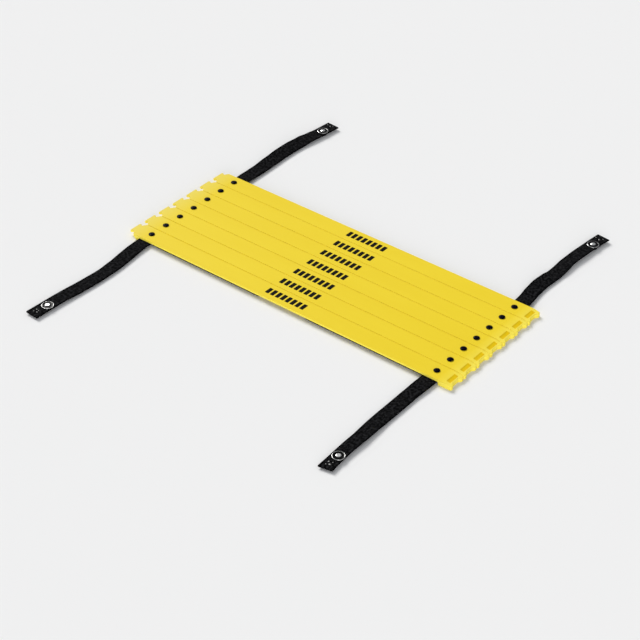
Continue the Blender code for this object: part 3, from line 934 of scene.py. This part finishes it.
    def cut_mesh(self) -> Mesh:
        """Cuts the hollow of the right foot and the slot above it, and softens the cut edges.

        Returns:
            The finished mesh of a rung at the origin.
        """
        layout, end_x, corner = self.layout, self.slot_end_x, self.slot_corner
        core_half, slot_half = layout.half_width - self.skirt_wall, self.slot_width / 2
        core_low = (layout.foot_inner_x + self.skirt_wall, -core_half, -self.overrun)
        core_high = (end_x, core_half, layout.foot_height - self.slot_floor)
        slot_low = (self.slot_start_x, -slot_half, self.slot_bottom)
        slot_high = (end_x, slot_half, layout.rung_top + self.overrun)
        core = box_mesh("core_cutter", core_low, core_high, corner)
        slot = box_mesh("slot_cutter", slot_low, slot_high, corner, self.slot_rise)
        blank, *tools = [placed(mesh.name, mesh) for mesh in (self.blank_mesh(), core, slot)]
        for tool in tools:
            cut = blank.modifiers.new(tool.name, "BOOLEAN")
            cut.operation, cut.solver, cut.object = "DIFFERENCE", "EXACT", tool
        bevel = blank.modifiers.new("rim", "BEVEL")
        bevel.width, bevel.segments = self.rim_bevel, 2
        bevel.limit_method, bevel.angle_limit = "ANGLE", math.radians(self.rim_angle_deg)
        graph = bpy.context.evaluated_depsgraph_get()
        finished = bpy.data.meshes.new_from_object(blank.evaluated_get(graph))
        for item in [blank, *tools]:
            bpy.data.objects.remove(item, do_unlink=True)
        return tidy_mesh(finished)

    def rivet_profile(self) -> Array:
        """Lists a rivet as (radius, height): a low dome, its shank, and the flared tail below.

        The dome is an ellipse quarter of the head's radius and height, with a small gate dimple.

        Returns:
            The points from the top pole to the lower pole.
        """
        layout, radius, tail_radius = self.layout, self.head_radius, self.rivet_tail_radius
        head = layout.rung_top + layout.fit_gap
        tail = layout.seat - layout.webbing_thickness / 2 - layout.fit_gap
        end = tail - self.rivet_tail_thickness
        upper, lower = self.rivet_tail_rounds
        angle = np.linspace(np.radians(self.dimple_edge_deg), np.pi / 2, self.dome_points)
        rise = head + self.head_edge + (self.head_height - self.head_edge) * np.cos(angle)
        dimple = np.array([0.0, head + self.head_height]) + np.array(self.dimple) * (1.0, -1.0)
        rest = [
            (radius, head + self.head_round),
            (radius - self.head_round, head),
            (self.shank_radius, head),
            (self.shank_radius, tail),
            (tail_radius - upper, tail),
            (tail_radius, tail - upper),
            (tail_radius, end + lower),
            (tail_radius - lower, end),
            (0.0, end),
        ]
        return np.concatenate([dimple, points_at(radius * np.sin(angle), rise), rest])

    def mark_mesh(self, y: float) -> Mesh:
        """Makes the print of one rung: a row of plain upright blocks, a hair above the top face.

        Args:
            y: Place of the rung's middle.

        Returns:
            The mesh, with all the blocks.
        """
        half = np.array(self.mark_size) * (0.5, 0.5, 1.0)
        place = (np.arange(self.mark_count) - (self.mark_count - 1) / 2) * self.mark_pitch
        middles = points_at(self.mark_middle_x + place, y, self.layout.rung_top)
        blocks = [box_mesh("mark", middle - half, middle + half, self.mark_corner) for middle in middles]
        return tidy_mesh(joined_mesh("printed_mark", blocks))

    def build(self) -> None:
        """Adds the rungs, their rivets and their printed marks."""
        slot_middle_x = (self.slot_start_x + self.slot_end_x) / 2
        slot_half = (self.slot_length / 2, self.slot_width / 2)
        plastic = MouldedPolypropylene(slot_middle_x, self.layout.pitch, slot_half).build()
        nylon, ink = NYLON.build(), INK.build()
        rung, profile = self.cut_mesh(), self.rivet_profile()
        for number in range(1, self.layout.rung_count + 1):
            body, y = f"rung_{number}_set", self.layout.rung_y(number)
            mesh = rung.copy()
            mesh.transform(Matrix.Translation((0.0, y, 0.0)))
            add_piece(f"moulded_rung_{number}", mesh, plastic, body, f"rung_{number}")
            add_piece(f"printed_mark_{number}", self.mark_mesh(y), ink, body)
            for side in Side:
                name = f"{side.name.lower()}_{number}"
                place = (side.value * self.layout.strap_x, y)
                head = lathe_mesh(f"rivet_{name}", profile, place, self.rivet_segments)
                add_piece(f"domed_rivet_{name}", head, nylon, body, f"rivet_{name}")


# Webbing


@dataclass(frozen=True)
class Webbing:
    """The section of the webbing, its finish, and how it is carried along a path."""

    width: float
    thickness: float
    material: Material
    edge_points: int = 5
    face_points: int = 9
    sharp_deg: float = 60.0

    def section(self) -> Array:
        """Lists the section as (across, up): two flat faces joined by half-round edges.

        Returns:
            The points of the closed section.
        """
        radius = self.thickness / 2
        flat = self.width / 2 - radius
        angle = np.linspace(-np.pi / 2, np.pi / 2, self.edge_points + 2)
        edge = points_at(flat + radius * np.cos(angle), radius * np.sin(angle))
        upper = points_at(np.linspace(flat, -flat, self.face_points + 2)[1:-1], radius)
        return np.concatenate([edge, upper, -edge, -upper])

    def sweep(self, name: str, centres: Array, across: Array, up: Array, along: Array | None = None) -> Mesh:
        """Carries the section along a path, with its map in metres along and across the webbing.

        A point is the centre plus its across share of the across direction plus its up share of
        the up direction.

        Args:
            name: Name of the mesh.
            centres: Middle of the webbing at each station.
            across: Unit direction over the width, at each station or for all.
            up: Unit direction out of the face, at each station or for all.
            along: Length of webbing up to each station, where it isn't the path's own.

        Returns:
            The closed mesh.
        """
        section = self.section()
        across, up = (np.broadcast_to(way, centres.shape)[:, None] for way in (across, up))
        points = centres[:, None] + section[:, :1] * across + section[:, 1:] * up
        if along is None:
            along = np.append(0.0, np.cumsum(step_lengths(centres)))
        return tube_mesh(name, points, points_at(along[:, None], section[:, 0]), self.sharp_deg)


@dataclass(frozen=True)
class Straps:
    """The two straps in the pack: under each rung, over each gap, and folded slack beside them."""

    layout: Layout
    webbing: Webbing
    seat_stations: int = 9
    run_steps: int = 48
    run_dip: float = 0.0021
    dip_share: float = 0.14
    slack_steps: int = 24
    fold_steps: int = 8
    slack_keep: float = 0.012

    def under_rung(self, side: Side, number: int) -> None:
        """Adds the stretch of a strap that is riveted under one rung.

        Args:
            side: The strap.
            number: The rung's number.
        """
        layout, name = self.layout, side.name.lower()
        place = np.linspace(layout.half_width, -layout.half_width, self.seat_stations)
        centres = points_at(side.value * layout.strap_x, layout.rung_y(number) + place, layout.seat)
        mesh = self.webbing.sweep("strap", centres, X_AXIS, Z_AXIS)
        node = f"{name}_strap_under_rung_{number}" if 1 < number < layout.rung_count else ""
        add_piece(f"{name}_webbing_at_rung_{number}", mesh, self.webbing.material, f"rung_{number}_set", node)

    def between(self, side: Side, number: int) -> None:
        """Adds the run from one rung to the next, bunched in the pack's small gap.

        Its stations share the small gap of the pack by the inverse of smooth_share's easing, and
        their height dips towards the floor away from the rungs.

        Args:
            side: The strap.
            number: Number of the rung at the run's back end.
        """
        layout, x = self.layout, side.value * self.layout.strap_x
        start = layout.rung_y(number) - layout.half_width
        end = layout.rung_y(number + 1) + layout.half_width
        paid = np.linspace(0.0, 1.0, self.run_steps + 1)
        share = 0.5 - np.sin(np.arcsin(1.0 - 2.0 * paid) / 3.0)
        dip = smooth_share(paid / self.dip_share) * smooth_share((1.0 - paid) / self.dip_share)
        centres = points_at(x, start + (end - start) * share, layout.seat - self.run_dip * dip)
        free = layout.run_length - layout.rung_width
        mesh = self.webbing.sweep("run", centres, X_AXIS, Z_AXIS, paid * free)
        name = f"{side.name.lower()}_webbing_run_{number}_{number + 1}"
        piece = new_piece(name, mesh, self.webbing.material)
        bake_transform(piece)

    def slack(self, side: Side, number: int) -> None:
        """Adds the folded slack of one run, beside its outer rung.

        The upper layer runs inwards, turns over a half circle of half the layer pitch and comes
        back below.

        Args:
            side: The strap.
            number: Number of the rung at the run's back end.
        """
        layout, sign = self.layout, side.value
        outer_rung = number if number < layout.middle_rung else number + 1
        y, radius = layout.rung_y(outer_rung), layout.layer_pitch / 2
        middle = layout.floor_gap + radius + layout.webbing_thickness / 2
        outer = layout.strap_x - layout.half_webbing - layout.fit_gap
        inner = layout.strap_x - (layout.run_length - layout.pitch) / 2
        out = np.linspace(outer, inner, self.slack_steps)
        turn = np.linspace(0.0, np.pi, self.fold_steps + 1)[1:-1]
        lean = np.concatenate([np.zeros_like(out), turn, np.full_like(out, np.pi)])
        x = np.concatenate([out, np.full_like(turn, inner), out[::-1]]) - radius * np.sin(lean)
        centres = points_at(sign * x, y, middle + radius * np.cos(lean))
        up = points_at(-sign * np.sin(lean), 0.0, np.cos(lean))
        mesh = self.webbing.sweep("slack", centres, Y_AXIS, up)
        name, body = f"{side.name.lower()}_slack_{number}_{number + 1}", f"rung_{outer_rung}_set"
        piece = add_piece(f"{name}_folded", mesh, self.webbing.material, body, name)
        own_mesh(piece)

    def build(self) -> None:
        """Adds both straps."""
        for side in Side:
            for number in range(1, self.layout.rung_count + 1):
                self.under_rung(side, number)
            for number in range(1, self.layout.rung_count):
                self.between(side, number)
                self.slack(side, number)


# Tails


@dataclass(frozen=True)
class Lie:
    """How one free tail lies on the floor.

    A point is (share of the reach, sideways place, roll in degrees), a width is (share of the
    reach, share of the full width), and a knot is (distance from the tip, place across, size).
    """

    side: Side
    end: End
    reach_share: float
    points: tuple[Triple, ...]
    widths: tuple[Pair, ...] = ((0.0, 1.0), (0.1, 0.97))
    knots: tuple[Triple, ...] = ()
    stud_shift: Pair = (0.0, 0.0)
    tip_slant: float = 0.0

    def stretch(self, share: Array) -> tuple[Array, Array]:
        """Returns the table of points and the number of the point before each share."""
        table = np.array(self.points)
        return table, np.clip(np.searchsorted(table[1:, 0], share), 0, len(table) - 2)

    def sway(self, share: Array) -> Array:
        """Reads the sideways place on a cubic Hermite curve through the points.

        Each end slope is the rise between the point's neighbours over their distance.

        Args:
            share: Shares of the reach, from the rung to the tip.

        Returns:
            The sideways place at each share.
        """
        table, place = self.stretch(share)
        around = [np.clip(place + step, 0, len(table) - 1) for step in (-1, 0, 1, 2)]
        (x_0, x_1, x_2, x_3), (y_0, y_1, y_2, y_3) = (table[around, column] for column in (0, 1))
        run = x_2 - x_1
        here = (share - x_1) / run
        start_slope, end_slope = run * (y_2 - y_0) / (x_2 - x_0), run * (y_3 - y_1) / (x_3 - x_1)
        square, cube = here**2, here**3
        ends = (2 * cube - 3 * square + 1) * y_1 + (3 * square - 2 * cube) * y_2
        return ends + (cube - 2 * square + here) * start_slope + (cube - square) * end_slope

    def width(self, share: Array) -> Array:
        """Reads the share of its full width that the webbing keeps, where its edges curl under."""
        return np.interp(share, *np.array(self.widths).T)

    def roll(self, share: Array) -> Array:
        """Reads the roll, eased from point to point.

        Args:
            share: Shares of the reach, from the rung to the tip.

        Returns:
            The roll in radians at each share.
        """
        table, place = self.stretch(share)
        (start, _, low), (end, _, high) = table[place].T, table[place + 1].T
        return np.radians(low + (high - low) * smooth_share((share - start) / (end - start)))


LIES = (
    Lie(
        Side.LEFT,
        End.BACK,
        0.965,
        (
            (0.00, 0.0000, 0), (0.08, -0.0001, 3), (0.18, 0.0003, 6), (0.32, -0.0005, 11),
            (0.46, -0.0014, 15), (0.57, -0.0014, 15), (0.68, -0.0004, 11), (0.77, 0.0011, 3),
            (0.86, 0.0029, 0), (1.00, 0.0052, 0),
        ),
        knots=((0.0053, -0.0005, 0.0010), (0.0042, -0.0060, 0.0006), (0.0037, 0.0032, 0.0006)),
        stud_shift=(0.0015, -0.0003),
    ),
    Lie(
        Side.RIGHT,
        End.BACK,
        0.943,
        (
            (0.00, 0.0000, 0), (0.08, -0.0013, 0), (0.18, -0.0034, 5), (0.27, -0.0043, 8),
            (0.36, -0.0037, 6), (0.44, -0.0031, 0), (0.52, -0.0033, -4), (0.60, -0.0042, -6),
            (0.68, -0.0035, -5), (0.77, -0.0021, -2), (0.90, -0.0004, 0), (1.00, 0.0016, 0),
        ),
        widths=((0.0, 1.0), (0.1, 0.97), (0.50, 0.97), (0.72, 0.93), (0.82, 0.89), (1.0, 0.90)),
        knots=((0.0086, -0.0002, 0.0012), (0.0043, 0.0028, 0.0006), (0.0070, -0.0059, 0.0006)),
        stud_shift=(0.0014, -0.0012),
    ),
    Lie(
        Side.LEFT,
        End.FRONT,
        1.000,
        (
            (0.00, 0.0000, 0), (0.06, 0.0006, 1), (0.12, 0.0020, 4), (0.20, 0.0042, 5),
            (0.30, 0.0065, 3), (0.42, 0.0075, 0), (0.54, 0.0072, 2), (0.66, 0.0060, 3),
            (0.78, 0.0040, 0), (0.90, 0.0033, 0), (1.00, 0.0025, 0),
        ),
        knots=(
            (0.0095, -0.0030, 0.0008), (0.0061, 0.0013, 0.0008), (0.0051, -0.0030, 0.0005),
            (0.0094, 0.0005, 0.0005),
        ),
        stud_shift=(0.0014, -0.0010),
    ),
    Lie(
        Side.RIGHT,
        End.FRONT,
        0.980,
        (
            (0.00, -0.0006, 0), (0.09, -0.0007, 3), (0.18, -0.0014, 0), (0.32, -0.0011, 0),
            (0.46, -0.0009, 0), (0.58, -0.0002, -3), (0.68, 0.0008, -4), (0.78, 0.0010, -2),
            (0.90, 0.0020, 0), (1.00, 0.0032, 0),
        ),
        widths=((0.0, 1.0), (0.1, 0.97), (0.55, 0.97), (0.70, 0.91), (0.80, 0.86), (0.92, 0.85), (1.0, 0.89)),
        knots=(
            (0.0094, -0.0029, 0.0011), (0.0062, 0.0005, 0.0014), (0.0045, -0.0031, 0.0005),
            (0.0106, 0.0016, 0.0005),
        ),
        stud_shift=(0.0010, -0.0016),
        tip_slant=0.14,
    ),
)


@dataclass(frozen=True)
class Tail:
    """One free tail with its folded hem, tack stitches and press stud."""

    layout: Layout
    webbing: Webbing
    nickel: Material
    thread: Material
    lie: Lie
    free_lift: float = 0.0018
    drop_share: float = 0.22
    climb_share: float = 0.16
    tangent_share: float = 0.008
    tuck_share: float = 0.86
    tuck_steps: int = 5
    free_steps: int = 110
    hem_steps: int = 26
    fold_steps: int = 10
    slant_length: float = 0.012
    stud_from_tip: float = 0.0235
    socket_from_tip: float = 0.0212
    post_radius: float = 0.0017
    post_reach: float = 0.0006
    knot_turns: int = 3
    turn_steps: int = 8
    thread_radius: float = 0.00020
    thread_rise: float = 0.00012
    thread_sides: int = 8

    @property
    def name(self) -> str:
        """The tail's name, such as back_left."""
        return f"{self.lie.end.name.lower()}_{self.lie.side.name.lower()}"

    @property
    def body(self) -> str:
        """The body that the tail rides on."""
        return "rung_1_set" if self.lie.end is End.BACK else f"rung_{self.layout.rung_count}_set"

    @property
    def reach(self) -> float:
        """How far the tail reaches from its rung."""
        return self.layout.tail_length * self.lie.reach_share

    @property
    def hem_share(self) -> float:
        """Share of the reach at which the hem starts."""
        return 1.0 - self.layout.hem_length / self.reach

    def centre(self, share: Array) -> Array:
        """Works out the middle of the tail before it rolls.

        It eases from its seat under the rung down towards the floor, which its own stiffness keeps
        it just off, and eases up to the hem, which rests on the lower half of its press stud.

        Args:
            share: Shares of the reach, from the rung to the tip.

        Returns:
            A point for each share.
        """
        layout, lie, half = self.layout, self.lie, self.layout.webbing_thickness / 2
        floor = layout.floor_gap + self.free_lift + half
        hem = layout.hem_underside(lie.end) + layout.layer_pitch + half
        down = layout.seat + (floor - layout.seat) * smooth_share(share / self.drop_share)
        climb = floor + (hem - floor) * smooth_share((share - self.hem_share) / self.climb_share + 1.0)
        x = lie.side.value * layout.strap_x + lie.sway(share)
        y = lie.end.value * (layout.pack_half_depth + self.reach * share)
        return points_at(x, y, np.where(share < self.drop_share, down, climb))

    def stations(self, share: Array) -> tuple[Array, Array, Array]:
        """Works out the centre, across and up directions of the rolled webbing.

        The across direction is the level normal of the path turned by the roll, the up direction
        is at right angles to it, and the centre is lifted so that the lower edge stays down.

        Args:
            share: Shares of the reach, from the rung to the tip.

        Returns:
            The centres, across directions and up directions.
        """
        sign_y = self.lie.end.value
        ahead = self.centre(np.minimum(share + self.tangent_share, 1.0))
        tangent = ahead - self.centre(np.maximum(share - self.tangent_share, 0.0))
        tangent /= np.linalg.norm(tangent, axis=1, keepdims=True)
        flat = level_normals(tangent) * sign_y
        rise = np.cross(flat, tangent) * sign_y
        roll = self.lie.roll(share)[:, None]
        across = flat * np.cos(roll) - rise * np.sin(roll)
        up = rise * np.cos(roll) + flat * np.sin(roll)
        lift = np.abs(np.sin(roll)) * self.layout.half_webbing
        return self.centre(share) + lift * Z_AXIS, across, up

    def add_webbing(self) -> tuple[Piece, Array]:
        """Adds the webbing with its tip folded under.

        The fold is a half circle of half the layer pitch about the tip's across direction, and the
        lower layer repeats the hem's stations, lower by the layer pitch, turned over and tucked in
        to a share of the width.

        Returns:
            The piece, and the points that its middle follows from the rung to the tip.
        """
        free = np.linspace(0.0, self.hem_share, self.free_steps)
        share = np.append(free, np.linspace(self.hem_share, 1.0, self.hem_steps + 1)[1:])
        path, across, up = self.stations(share)
        radius = self.layout.layer_pitch / 2
        forward = np.cross(across[-1], up[-1]) * -self.lie.end.value
        forward *= np.sign(np.dot(forward, path[-1] - path[-2]))
        turn = np.linspace(0.0, np.pi, self.fold_steps + 1)[1:-1, None]
        turned = forward * np.sin(turn) + up[-1] * np.cos(turn)
        fold = path[-1] - up[-1] * radius + turned * radius
        back = slice(None, -self.hem_steps - 2, -1)
        lower = path[back] - up[back] * self.layout.layer_pitch
        folded, width = len(turned), self.lie.width(share)
        tucked = smooth_share(np.arange(folded + len(lower)) / (folded + self.tuck_steps))
        under = np.append(np.full(folded, width[-1]), width[back]) * (1.0 - (1.0 - self.tuck_share) * tucked)
        across = np.concatenate([across, np.repeat(across[-1:], folded, axis=0), across[back]])
        across *= np.append(width, under)[:, None]
        centres, up = np.concatenate([path, fold, lower]), np.concatenate([up, turned, -up[back]])
        name = f"{self.name}_webbing"
        mesh = self.webbing.sweep(name, centres, across, up)
        self.slant_tip(mesh, path[-1])
        return add_piece(name, mesh, self.webbing.material, self.body, f"{self.name}_tail"), path

    def slant_tip(self, mesh: Mesh, tip: Array) -> None:
        """Shears the last part of a hem, where the real one is folded askew.

        Each point moves along Y by the slant times its distance from the strap's middle, eased in
        over the slant's length.

        Args:
            mesh: The tail's mesh, whose points are moved.
            tip: Middle of the tail's tip.
        """
        points = np.empty(len(mesh.vertices) * 3)
        mesh.vertices.foreach_get("co", points)
        x, y, _ = points.reshape(-1, 3).T
        near = 1.0 - np.abs(tip[1] - y) / self.slant_length
        y += self.lie.tip_slant * (x - tip[0]) * smooth_share(near)
        mesh.vertices.foreach_set("co", points)

    def add_stitches(self) -> Piece:
        """Adds the knots of the hem's tack: thread painted pale as a highlight, zigzagging over a short
        length at each.

        The thread's middle swings by half the knot's size times the sine of its turns, on the hem's
        upper face. Each ring is the thread's radius about it, in the plane of Z and its level normal.

        Returns:
            The piece, with all the knots in one mesh.
        """
        angle = np.arange(self.thread_sides)[:, None] * (2.0 * np.pi / self.thread_sides)
        turn = np.linspace(0.0, 1.0, self.knot_turns * self.turn_steps + 1)
        swing = np.sin(turn * self.knot_turns * 2 * np.pi) / 2
        rise = self.layout.webbing_thickness / 2 + self.thread_rise
        threads = []
        for from_tip, middle, size in self.lie.knots:
            share = 1.0 - (from_tip - (turn - 0.5) * size) / self.reach
            centres, side, up = self.stations(np.clip(share, 0.0, 1.0))
            path = centres + side * (middle + swing * size)[:, None] + up * rise
            normals = level_normals(np.gradient(path, axis=0))
            ring = np.cos(angle) * normals[:, None] + np.sin(angle) * Z_AXIS
            threads.append(tube_mesh("thread", path[:, None] + self.thread_radius * ring))
        mesh = joined_mesh(f"{self.name}_tack", threads)
        mesh.shade_smooth()
        return add_piece(f"{self.name}_tack_stitch", mesh, self.thread, self.body)

    def upper_profile(self, base: float) -> Array:
        """Lists the upper half of the press stud as (radius, height), from tables in millimetres.

        In front it is the male stud: a rolled rim, a sunken web and the low ball. At the back it is
        the cap: a rolled rim, a shallow dish and a low dome, with its pin below.

        Args:
            base: Height of its seat on the hem.

        Returns:
            The points from pole to pole.
        """
        if self.lie.end is End.FRONT:
            table = [
                (0.0, 1.55), (1.2, 1.58), (2.0, 1.60), (2.6, 1.52), (3.0, 1.36), (3.2, 1.12), (3.15, 0.90),
                (3.0, 0.74), (3.1, 0.62), (3.5, 0.56), (4.6, 0.54), (5.8, 0.56), (6.15, 0.66), (6.35, 0.84),
                (6.6, 1.0), (6.9, 1.05), (7.2, 0.98), (7.38, 0.80), (7.45, 0.55), (7.42, 0.25), (7.28, 0.06),
                (7.05, 0.0), (2.0, 0.0), (2.0, 0.9), (0.0, 0.9),
            ]
        else:
            low = (self.layout.floor_gap + self.layout.socket_height - self.post_reach - base) / MILLIMETRE
            table = [
                (0.0, 1.62), (0.8, 1.60), (1.5, 1.52), (2.1, 1.38), (2.6, 1.20), (3.0, 1.02), (3.4, 0.92),
                (4.0, 0.88), (5.2, 0.84), (5.8, 0.80), (6.1, 0.82), (6.4, 0.92), (6.7, 1.0), (7.0, 0.97),
                (7.25, 0.84), (7.4, 0.64), (7.45, 0.42), (7.4, 0.18), (7.22, 0.04), (7.0, 0.0), (1.7, 0.0),
                (1.7, low), (0.0, low),
            ]
        return np.array(table) * MILLIMETRE + (0.0, base)

    def lower_profile(self, base: float) -> Array:
        """Lists the lower half of the press stud as (radius, height): the post or the socket.

        Args:
            base: Height of the upper half's seat, into which the post reaches.

        Returns:
            The points from pole to pole.
        """
        floor = self.layout.floor_gap
        if self.lie.end is End.FRONT:
            post, pin = self.post_radius / MILLIMETRE, (base + self.post_reach - floor) / MILLIMETRE
            top = self.layout.flange_thickness / MILLIMETRE
            table = [
                (0.0, pin), (post, pin), (post, top), (4.9, top), (5.2, top - 0.1), (5.4, top - 0.4),
                (5.3, 0.2), (5.0, 0.0), (0.0, 0.0),
            ]
        else:
            top = self.layout.socket_height / MILLIMETRE
            table = [
                (0.0, top - 0.9), (2.0, top - 0.9), (2.0, top), (4.9, top), (5.3, top - 0.2),
                (5.4, top - 0.6), (5.4, 0.3), (5.2, 0.0), (3.8, 0.0), (3.5, 0.2), (3.5, 1.0), (0.0, 1.0),
            ]
        return np.array(table) * MILLIMETRE + (0.0, floor)

    def add_stud(self) -> list[Piece]:
        """Adds both halves of the press stud through the hem.

        Returns:
            The upper half and the lower half.
        """
        back = self.lie.end is End.BACK
        from_tip = self.socket_from_tip if back else self.stud_from_tip
        middle = self.centre(np.array([1.0 - from_tip / self.reach]))[0, :2]
        x, y = middle + self.lie.stud_shift
        base = self.layout.hem_top(self.lie.end)
        pieces = []
        halves = ("cap", "socket") if back else ("stud", "post")
        for half, profile in zip(halves, (self.upper_profile(base), self.lower_profile(base))):
            node = f"{self.name}_{half}"
            mesh = lathe_mesh(node, profile, (x, y))
            pieces.append(add_piece(f"{self.name}_press_{half}", mesh, self.nickel, self.body, node))
        return pieces

    def build(self) -> None:
        webbing, path = self.add_webbing()
        fittings = [*self.add_stud(), self.add_stitches()]


# Studio


@dataclass(frozen=True)
class Studio:
    """The camera at the photograph's angle, the pale floor and the soft light."""

    azimuth_deg: float = 38.894
    elevation_deg: float = 36.4865
    camera_place: Triple = (1.0786, -1.3519, 1.2119)
    lens: float = 99.83
    sensor_width: float = 36.0
    clip_start: float = 0.01
    floor_size: float = 40.0
    sky_strength: float = 0.40
    sky_tint: Triple = (0.97, 0.99, 1.03)
    key_tint: Triple = (1.020, 1.008, 0.980)
    key_strength: float = 2.64
    key_spread_deg: float = 28.0
    key_from: Triple = (-0.95, 0.40, 0.78)
    fill_strength: float = 2.30
    fill_spread_deg: float = 40.0
    fill_from: Triple = (0.58, -0.80, 0.09)

    def add_camera(self) -> None:
        """Adds the camera: its view axis points back along (sine, minus cosine) of the azimuth."""
        turn, tilt = math.radians(self.azimuth_deg), math.radians(self.elevation_deg)
        back = Vector((math.sin(turn) * math.cos(tilt), -math.cos(turn) * math.cos(tilt), math.sin(tilt)))
        right = Vector((math.cos(turn), math.sin(turn), 0.0))
        data = bpy.data.cameras.new("camera")
        data.lens, data.sensor_width, data.clip_start = self.lens, self.sensor_width, self.clip_start
        camera = placed("camera", data)
        turned = Matrix((right, back.cross(right), back)).transposed().to_4x4()
        camera.matrix_world = Matrix.Translation(self.camera_place) @ turned
        bpy.context.scene.camera = camera

    def add_floor(self) -> None:
        """Adds the plain pale floor."""
        half = self.floor_size / 2
        corners = [(-half, -half, 0.0), (half, -half, 0.0), (half, half, 0.0), (-half, half, 0.0)]
        mesh = bpy.data.meshes.new("floor")
        mesh.from_pydata(corners, [], [(0, 1, 2, 3)])
        mesh.materials.append(StudioPaper().build())
        placed("floor", mesh)

    def add_sun(self, name: str, strength: float, spread_deg: float, source: Triple) -> bpy.types.Light:
        """Adds one broad light that shines from a direction.

        Args:
            name: Name of the light.
            strength: Its strength.
            spread_deg: How broad it is, seen from the object.
            source: Where it shines from.

        Returns:
            The light's data.
        """
        data = bpy.data.lights.new(name, "SUN")
        data.energy, data.angle = strength, math.radians(spread_deg)
        placed(name, data).rotation_euler = Vector(source).to_track_quat("Z", "Y").to_euler()
        return data

    def add_light(self) -> None:
        """Adds an even sky, a key from above on the left and a low fill from the camera's side."""
        world = bpy.data.worlds.new("sky")
        world.use_nodes = True
        sky = world.node_tree.nodes["Background"]
        sky.inputs["Color"].default_value = (*self.sky_tint, 1.0)
        sky.inputs["Strength"].default_value = self.sky_strength
        bpy.context.scene.world = world
        key = self.add_sun("key", self.key_strength, self.key_spread_deg, self.key_from)
        key.color = self.key_tint
        self.add_sun("fill", self.fill_strength, self.fill_spread_deg, self.fill_from)

    def build(self) -> None:
        """Adds the whole studio."""
        bpy.context.scene.view_settings.view_transform = "Standard"
        self.add_camera()
        self.add_floor()
        self.add_light()


def main() -> None:
    """Builds the studio and the ladder."""
    logging.basicConfig(level=logging.INFO, format="%(name)s: %(message)s")
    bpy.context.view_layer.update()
    Studio().build()
    layout = Layout()
    webbing = Webbing(layout.webbing_width, layout.webbing_thickness, WovenWebbing().build())
    nickel, thread = NickelPlate().build(), THREAD.build()
    for lie in LIES:
        Tail(layout, webbing, nickel, thread, lie).build()
    Straps(layout, webbing).build()
    Rungs(layout).build()


if __name__ == "__main__":
    main()
